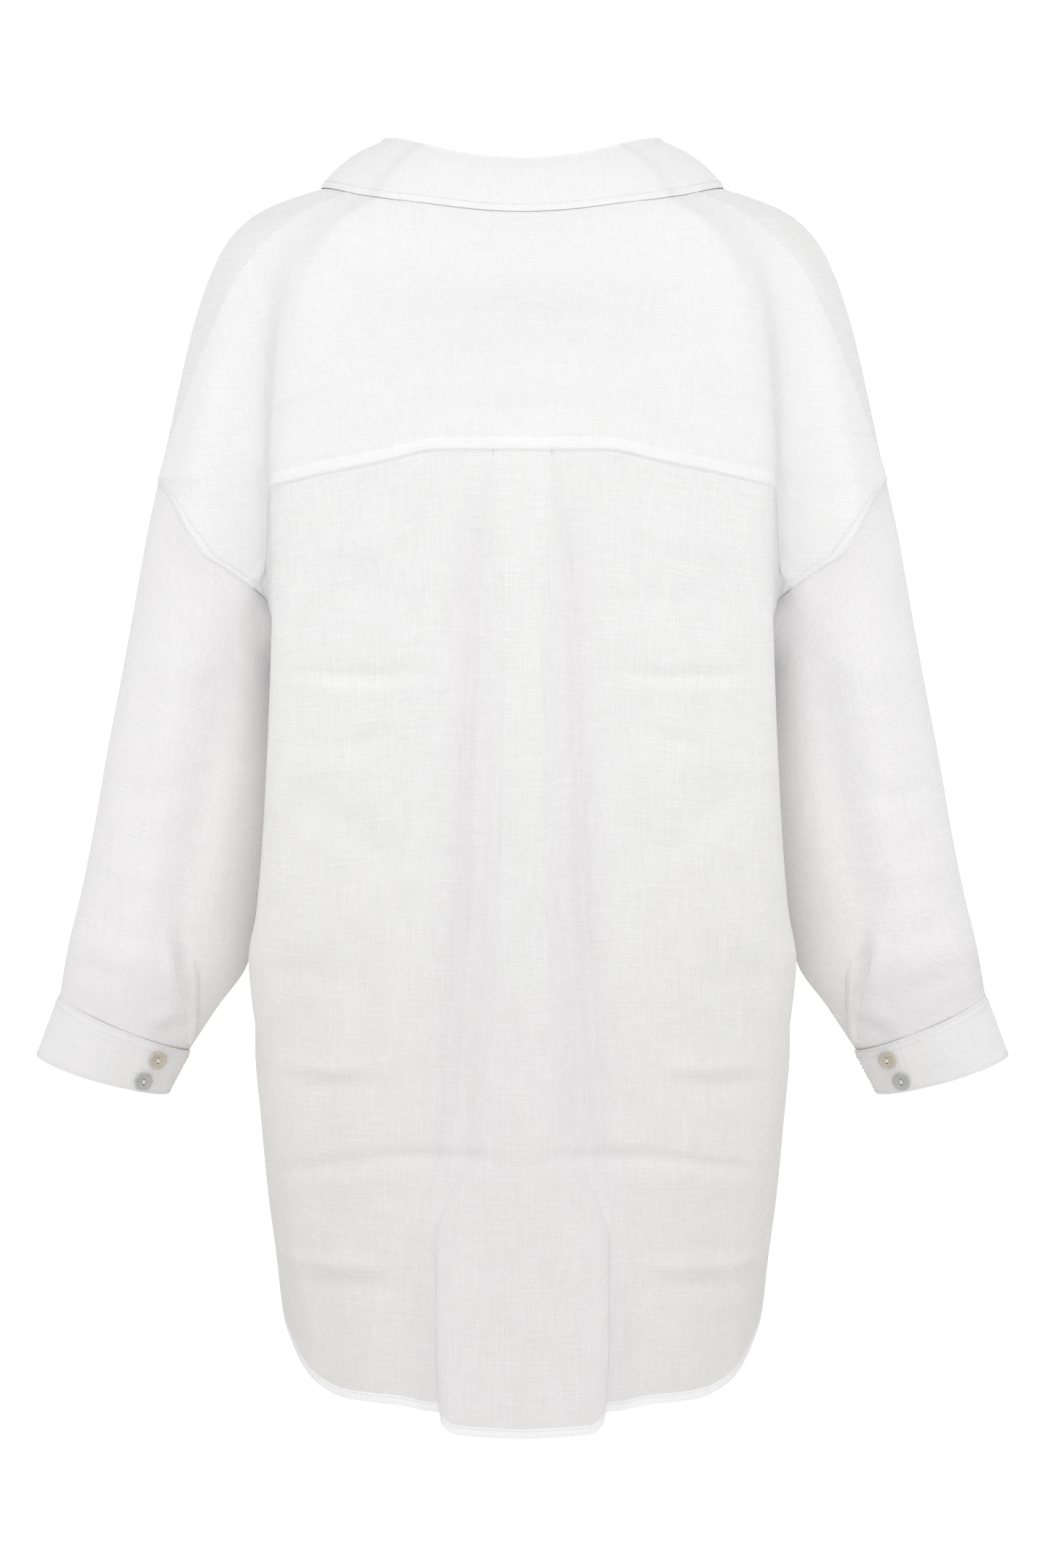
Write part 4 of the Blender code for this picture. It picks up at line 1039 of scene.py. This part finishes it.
def button_mesh(name):
    """A two-hole button: a turned disc with a sunk middle, and holes cut through it."""
    mesh_builder = bmesh.new()
    chain = [mesh_builder.verts.new((radius * BUTTON_RADIUS, 0, height * BUTTON_HEIGHT))
             for radius, height in BUTTON_PROFILE]
    edges = [mesh_builder.edges.new(pair) for pair in zip(chain, chain[1:])]
    bmesh.ops.spin(mesh_builder, geom=chain + edges, cent=(0, 0, 0), axis=(0, 0, 1), angle=2 * math.pi,
                   steps=BUTTON_STEPS, use_merge=True)
    bmesh.ops.remove_doubles(mesh_builder, verts=mesh_builder.verts, dist=0.000001)
    bmesh.ops.recalc_face_normals(mesh_builder, faces=mesh_builder.faces)
    mesh = bpy.data.meshes.new(name)
    mesh_builder.to_mesh(mesh)
    mesh_builder.free()
    disc = bpy.data.objects.new(name + "_disc", mesh)
    bpy.context.scene.collection.objects.link(disc)
    cutters = []
    for place in (-HOLE_APART / 2, HOLE_APART / 2):
        cutter_mesh = bpy.data.meshes.new(name + "_hole")
        cutter_builder = bmesh.new()
        bmesh.ops.create_cone(cutter_builder, cap_ends=True, segments=20, radius1=HOLE_RADIUS,
                              radius2=HOLE_RADIUS, depth=0.01)
        bmesh.ops.translate(cutter_builder, verts=cutter_builder.verts, vec=(place, 0, 0))
        cutter_builder.to_mesh(cutter_mesh)
        cutter_builder.free()
        cutter = bpy.data.objects.new(name + "_hole", cutter_mesh)
        bpy.context.scene.collection.objects.link(cutter)
        cut = disc.modifiers.new("Hole", "BOOLEAN")
        cut.object = cutter
        cut.operation = "DIFFERENCE"
        cut.solver = "EXACT"
        cutters.append(cutter)
    bpy.context.view_layer.update()
    finished = bpy.data.meshes.new_from_object(disc.evaluated_get(bpy.context.evaluated_depsgraph_get()))
    for item in cutters + [disc]:
        bpy.data.objects.remove(item, do_unlink=True)
    finished.name = name
    finished.shade_smooth()
    finished.set_sharp_from_angle(angle=math.radians(38))
    return finished


def thread_mesh(name):
    """The threads that cross the button between its holes, as bowed closed bars."""
    verts, faces = [], []
    stations = 9
    for row in (-1.1, 0, 1.1):
        first = len(verts)
        for k in range(stations):
            along_bar = k / (stations - 1)
            x = (along_bar - 0.5) * HOLE_APART
            z = BUTTON_HEIGHT * 0.62 + math.sin(math.pi * along_bar) * 0.0006
            for corner in range(6):
                turn = 2 * math.pi * corner / 6
                verts.append((x, row * THREAD_RADIUS * 1.6 + math.cos(turn) * THREAD_RADIUS * 1.2,
                              z + math.sin(turn) * THREAD_RADIUS * 1.2))
        for k in range(stations - 1):
            for corner in range(6):
                after = (corner + 1) % 6
                base = first + 6 * k
                faces.append((base + corner, base + 6 + corner, base + 6 + after, base + after))
        faces.append(tuple(first + corner for corner in range(6)))
        last = first + 6 * (stations - 1)
        faces.append(tuple(last + corner for corner in reversed(range(6))))
    mesh = bpy.data.meshes.new(name)
    mesh.from_pydata(verts, [], faces)
    mesh.shade_smooth()
    return mesh


def build_body(double, single, thread):
    """Yoke, back and front. Returns the sheets."""
    yoke = raised(both_sides(yoke_grid()), YOKE_CREASES, -1)
    back = raised(both_sides(back_grid()), BACK_CREASES, -1)
    front = raised(both_sides(front_grid())[:, ::-1], FRONT_CREASES, 1)
    back = tucked(back - grid_normals(back) * 0.0003, BACK_TUCK, TUCK_SINK)
    yoke = yoke + grid_normals(yoke) * 0.0002
    sheets = {"yoke": sheet_of(yoke), "back": sheet_of(back), "front": sheet_of(front)}
    pieces = {
        "yoke": make_shell("yoke_cloth", yoke, DOUBLE, double, bevels=YOKE_BEVELS),
        "back": make_shell("back_cloth", back, SINGLE, single),
        "front": make_shell("front_cloth", front, SINGLE, single),
    }
    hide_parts("yoke")
    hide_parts("back_panel")
    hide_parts("front_panel")
    return sheets, pieces


def build_collar(double):
    """One collar: the stand up the neck, over the fold and down to the outer edge."""
    neck, fold, edge = collar_lines()
    rise = unit(fold - neck)
    fall = edge - fold
    out = unit(fall - rise * np.sum(fall * rise, axis=-1, keepdims=True))
    rows = [neck + rise * STAND_FOOT_GAP]
    centre = fold - rise * FOLD_RADIUS
    for share in np.linspace(0.25, 1, 6):
        rows.append(rows[0] + (centre - out * FOLD_RADIUS * 0.2 - rows[0]) * share)
    for angle in np.linspace(0.15, 1, 7)[:-1] * math.pi:
        rows.append(centre + (rise * math.sin(angle) - out * math.cos(angle)) * FOLD_RADIUS)
    start = centre + out * FOLD_RADIUS
    for share in np.linspace(0, 1, 22):
        crown = 4 * share * (1 - share) * FALL_CROWN
        rows.append(start + (edge - start) * share + rise * crown)
    half = np.stack(rows)
    whole = np.concatenate([half[:, :0:-1] * np.array((-1, 1, 1)), half], axis=1)
    piece = make_shell("collar", whole, DOUBLE, double, bevels=COLLAR_BEVELS)
    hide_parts("collar_stand", "collar_fall")
    return sheet_of(whole), piece


def for_side(grid, side):
    """A right-hand grid, or its mirror image, with its columns so that its face is outward."""
    return grid[:, ::-1] if side > 0 else grid * np.array((-1, 1, 1))


def build_arm(name, side, cuff_cloth, sleeve_cloth, thread, buttons):
    """Sleeve, cuff, slit strip and buttons of one arm."""
    sleeve = for_side(sleeve_grid(), side)
    sleeve = raised(sleeve, SLEEVE_BACK_CREASES, -1, closed=True)
    sleeve = raised(sleeve, SLEEVE_FRONT_CREASES, 1, closed=True)
    sleeve = sleeve - grid_normals(sleeve, True) * 0.0003
    sleeve = tucked(sleeve, SLEEVE_TUCK, SLEEVE_SINK, closed=True, from_last=True)
    sleeve_piece = make_shell("sleeve_cloth_" + name, sleeve, SINGLE, sleeve_cloth, closed=True)
    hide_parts("sleeve_" + name)

    cuff = raised(for_side(cuff_grid(), side), CUFF_CREASES, -1)
    cuff_piece = make_shell("cuff_cloth_" + name, cuff, CUFF_WALL, cuff_cloth,
                            bevels=CUFF_BEVELS)
    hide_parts("cuff_" + name)

    placket = raised(for_side(placket_grid(), side), SLEEVE_BACK_CREASES, -1)
    placket_piece = make_shell("slit_strip_" + name, placket, DOUBLE, sleeve_cloth,
                               bevels=((np.s_[:, 0 if side > 0 else -1], STRIP_BEVEL, 0),))
    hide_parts("placket_" + name)

    cuff_sheet, strip_sheet = sheet_of(cuff), sheet_of(placket)
    columns = np.linspace(0, cuff.shape[1] - 1, cuff.shape[1])
    lines = []
    for distance in CUFF_STITCHES_TOP:
        row = inset_rows(cuff, distance, columns, from_last=False)
        lines.append(line_on(cuff_sheet, row, columns, STITCH_LIFT))
    row = inset_rows(cuff, CUFF_STITCH_END, columns)
    lines.append(line_on(cuff_sheet, row, columns, STITCH_LIFT))
    for from_last in (True, False):
        rows = np.arange(len(cuff)).astype(float)
        column = inset_columns(cuff, CUFF_STITCH_END, rows, from_last)
        lines.append(line_on(cuff_sheet, rows, column, STITCH_LIFT))
    rows = np.linspace(0, len(placket) - 1, 40)
    for from_last in (True, False):
        column = inset_columns(placket, STRIP_STITCH, rows, from_last)
        lines.append(line_on(strip_sheet, rows, column, STITCH_LIFT))
    stitches = make_stitches("cuff_stitches_" + name, lines, thread)

    for level, (turn, down) in BUTTON_PLACES.items():
        centre, beside, below = cuff_points(np.array([turn, turn - 0.01, turn]),
                                            np.array([down, down, down + 0.02]))
        normal = unit(np.cross(below - centre, beside - centre))
        if normal[1] > 0:
            normal = -normal
        centre = (centre + normal * (CLOTH_WALL / 2 + BUTTON_CLEARANCE)) * np.array((side, 1, 1))
        aim = normal * np.array((side, 1, 1))
        rotation = (0, math.acos(aim[2]), math.atan2(aim[1], aim[0]))
        button = bpy.data.objects.new(f"shell_button_{name}_{level}", buttons[level])
        cross = bpy.data.objects.new(f"button_thread_{name}_{level}", buttons["thread"])
        for item in (button, cross):
            item.location = centre
            item.rotation_euler = rotation
            bpy.context.scene.collection.objects.link(item)
            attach(item, "root")
        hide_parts(f"button_{name}_{level}")
    return sleeve_piece, cuff_piece, placket_piece, stitches


def build_seams(sheets, collar, double, thread):
    """Seam bands, hems and topstitching of the body and collar."""
    yoke, back, front = sheets["yoke"], sheets["back"], sheets["front"]
    made = {}
    columns = np.arange(yoke["grid"].shape[1]).astype(float)
    tip = SHOULDER_ROWS
    last = len(yoke["grid"]) - 1
    yoke_line = {}
    for distance in (0.0008, 0.002, 0.005, SEAM_BAND - 0.0012, SEAM_BAND):
        yoke_line[distance] = (inset_rows(yoke["grid"], distance, columns), columns)
    made["yoke_band"] = make_band("yoke_seam_band", yoke, list(yoke_line.values())[::-1], BAND_LIFT,
                                  BAND_WALL, double)
    stitch = (inset_rows(yoke["grid"], 0.0016, columns), columns)
    lines = [line_on(yoke, *stitch, BAND_LIFT + STITCH_LIFT)]

    rows = np.linspace(0, tip, 200)
    for from_last in (True, False):
        column = inset_columns(yoke["grid"], 0.0018, rows, from_last)
        lines.append(line_on(yoke, rows, column, STITCH_LIFT))
    made["yoke_stitches"] = make_stitches("yoke_stitches", lines, thread)

    lines, bands = [], []
    for sheet, first, final, label in ((yoke, tip, last, "yoke"), (back, 2, 2 + UNDERARM_ROWS, "back"),
                                       (front, tip, UNDERARM_ROW, "front")):
        rows = np.linspace(first, final, 120)
        for from_last in (True, False):
            places = {}
            for distance in (0.0006, 0.0016, 0.005, SEAM_BAND - 0.0012, SEAM_BAND):
                places[distance] = (rows, inset_columns(sheet["grid"], distance, rows, from_last))
            order = list(places.values())
            points = [line_on(sheet, *place, BAND_LIFT * (0.15 if k in (0, 4) else 1.0))[0]
                      for k, place in enumerate(order)]
            cloth = [at_index(sheet["cloth"], *place) for place in order]
            grid, cloth = np.stack(points, axis=1), np.stack(cloth, axis=1)
            if from_last:
                grid, cloth = grid[:, ::-1], cloth[:, ::-1]
            side = "right" if from_last == (label != "front") else "left"
            band = make_shell(f"armhole_band_{label}_{side}", grid, BAND_WALL, double, cloth=cloth)
            bands.append(band)
            for distance in (0.0014, SEAM_BAND - 0.0012):
                column = inset_columns(sheet["grid"], distance, rows, from_last)
                lines.append(line_on(sheet, rows, column, BAND_LIFT + STITCH_LIFT))
    made["armhole_bands"] = bands
    made["armhole_stitches"] = make_stitches("armhole_stitches", lines, thread)

    lines = []
    for label, sheet in (("back", back), ("front", front)):
        columns = np.linspace(0, sheet["grid"].shape[1] - 1, sheet["grid"].shape[1])
        places = [(inset_rows(sheet["grid"], distance, columns), columns)
                  for distance in (HEM_DEPTH, HEM_DEPTH - 0.0009, HEM_DEPTH / 2, 0.0008, 0.0)]
        made[label + "_hem"] = make_band(label + "_hem", sheet, places, BAND_LIFT, BAND_WALL, double)
        row = inset_rows(sheet["grid"], HEM_DEPTH - 0.0012, columns)
        lines.append(line_on(sheet, row, columns, BAND_LIFT + STITCH_LIFT))
    made["hem_stitches"] = make_stitches("hem_stitches", lines, thread)

    columns = np.arange(front["grid"].shape[1]).astype(float)
    places = [(inset_rows(front["grid"], distance, columns, False), columns)
              for distance in (0.0, 0.0009, 0.006, 0.0111, 0.012)]
    made["neck_band"] = make_band("neck_band", front, places, BAND_LIFT, BAND_WALL, double)
    row = inset_rows(front["grid"], 0.0108, columns, False)
    lines = [line_on(front, row, columns, BAND_LIFT + STITCH_LIFT)]
    columns = np.arange(collar["grid"].shape[1]).astype(float)
    row = inset_rows(collar["grid"], COLLAR_STITCH, columns)
    lines.append(line_on(collar, row, columns, STITCH_LIFT))
    made["collar_stitches"] = make_stitches("collar_stitches", lines, thread)
    return made


def build_stage():
    """A seamless pale sweep: floor, curve and back wall."""
    profile = [(-STAGE_FRONT, FLOOR_Z)]
    for k in range(13):
        turn = math.pi / 2 * k / 12
        profile.append((STAGE_BACK - STAGE_CURVE + STAGE_CURVE * math.sin(turn),
                        FLOOR_Z + STAGE_CURVE - STAGE_CURVE * math.cos(turn)))
    profile.append((STAGE_BACK, STAGE_TOP))
    verts = [(x, y, z) for y, z in profile for x in (-STAGE_HALF, STAGE_HALF)]
    faces = [(2 * k, 2 * k + 1, 2 * k + 3, 2 * k + 2) for k in range(len(profile) - 1)]
    mesh = bpy.data.meshes.new("sweep")
    mesh.from_pydata(verts, [], faces)
    mesh.shade_smooth()
    material = bpy.data.materials.new("sweep_paint")
    shader = shader_of(material)
    noise = material.node_tree.nodes.new("ShaderNodeTexNoise")
    noise.inputs["Scale"].default_value = 3.0
    ramp = material.node_tree.nodes.new("ShaderNodeValToRGB")
    ramp.color_ramp.elements[0].color = (0.90, 0.90, 0.90, 1)
    ramp.color_ramp.elements[1].color = (0.93, 0.93, 0.93, 1)
    material.node_tree.links.new(noise.outputs["Fac"], ramp.inputs["Fac"])
    material.node_tree.links.new(ramp.outputs["Color"], shader.inputs["Base Color"])
    shader.inputs["Roughness"].default_value = 0.95
    mesh.materials.append(material)
    sweep = bpy.data.objects.new("sweep", mesh)
    bpy.context.scene.collection.objects.link(sweep)


def add_light(name, place, aim, size, power):
    light = bpy.data.lights.new(name, "AREA")
    light.shape = "RECTANGLE"
    light.size, light.size_y = size
    light.energy = power
    item = bpy.data.objects.new(name, light)
    item.location = place
    way = np.array(aim, float) - np.array(place, float)
    item.rotation_euler = Vector(way).to_track_quat("-Z", "Y").to_euler()
    bpy.context.scene.collection.objects.link(item)


def build_camera_and_light():
    camera = bpy.data.cameras.new("camera")
    camera.sensor_width = SENSOR
    camera.lens = SENSOR * CAMERA_DISTANCE / VIEW_HEIGHT
    eye = bpy.data.objects.new("camera", camera)
    eye.location = (0, -CAMERA_DISTANCE, VIEW_MIDDLE_Z)
    eye.rotation_euler = (math.pi / 2, 0, 0)
    bpy.context.scene.collection.objects.link(eye)
    bpy.context.scene.camera = eye
    world = bpy.data.worlds.new("studio")
    world.use_nodes = True
    world.node_tree.nodes["Background"].inputs["Color"].default_value = (1, 1, 1, 1)
    world.node_tree.nodes["Background"].inputs["Strength"].default_value = WORLD_STRENGTH
    bpy.context.scene.world = world
    bpy.context.scene.view_settings.view_transform = "Standard"
    for light in LIGHTS:
        add_light(*light)


def main():
    # Yoke: painted light on its outer, tilted shoulders
    double = linen("linen_doubled", LINEN_DOUBLE, contrast=0.16, stripe=YOKE_PAINTED_LIGHT)
    seam_cloth = linen("linen_seam", LINEN_SEAM, contrast=0.14)
    # Collar: painted light on its turned sides
    collar_cloth = linen("linen_collar", LINEN_COLLAR, contrast=0.14, stripe=COLLAR_PAINTED_LIGHT)
    cuff_cloth = linen("linen_cuff", LINEN_CUFF, contrast=0.25)
    # Single cloth: painted shade towards the hem, at the lower sides and in the valleys beside the pleat
    single = linen("linen_single", LINEN_SINGLE, PAINTED_SHADE_LOW, PAINTED_SHADE_LOW_SIDE, 0.06, 0.13, contrast=0.38,
                   stripe=VALLEY_PAINTED_SHADE)
    # Sleeve cloth: painted light over the shade of its round and of the recess by the body, painted shade
    # low down
    sleeve_cloth = linen("linen_sleeve", LINEN_SLEEVE, PAINTED_SHADE_SLEEVE_LOW, PAINTED_LIGHT_SLEEVE_INNER, 0.25, 0.21,
                         contrast=0.28, stripe=SLEEVE_PAINTED_LIGHT)
    thread = thread_material()
    sheets, pieces = build_body(double, single, thread)
    collar_sheet, collar = build_collar(collar_cloth)
    buttons = {"upper": button_mesh("button_upper"), "lower": button_mesh("button_lower"),
               "thread": thread_mesh("button_threads")}
    buttons["upper"].materials.append(shell_material("shell_cream", *SHELL_CREAM))
    buttons["lower"].materials.append(shell_material("shell_grey", *SHELL_GREY))
    buttons["thread"].materials.append(thread)
    arms = [build_arm(name, side, cuff_cloth, sleeve_cloth, thread, buttons)
            for name, side in (("right", 1), ("left", -1))]
    seams = build_seams(sheets, collar_sheet, seam_cloth, thread)
    build_stage()
    build_camera_and_light()


main()
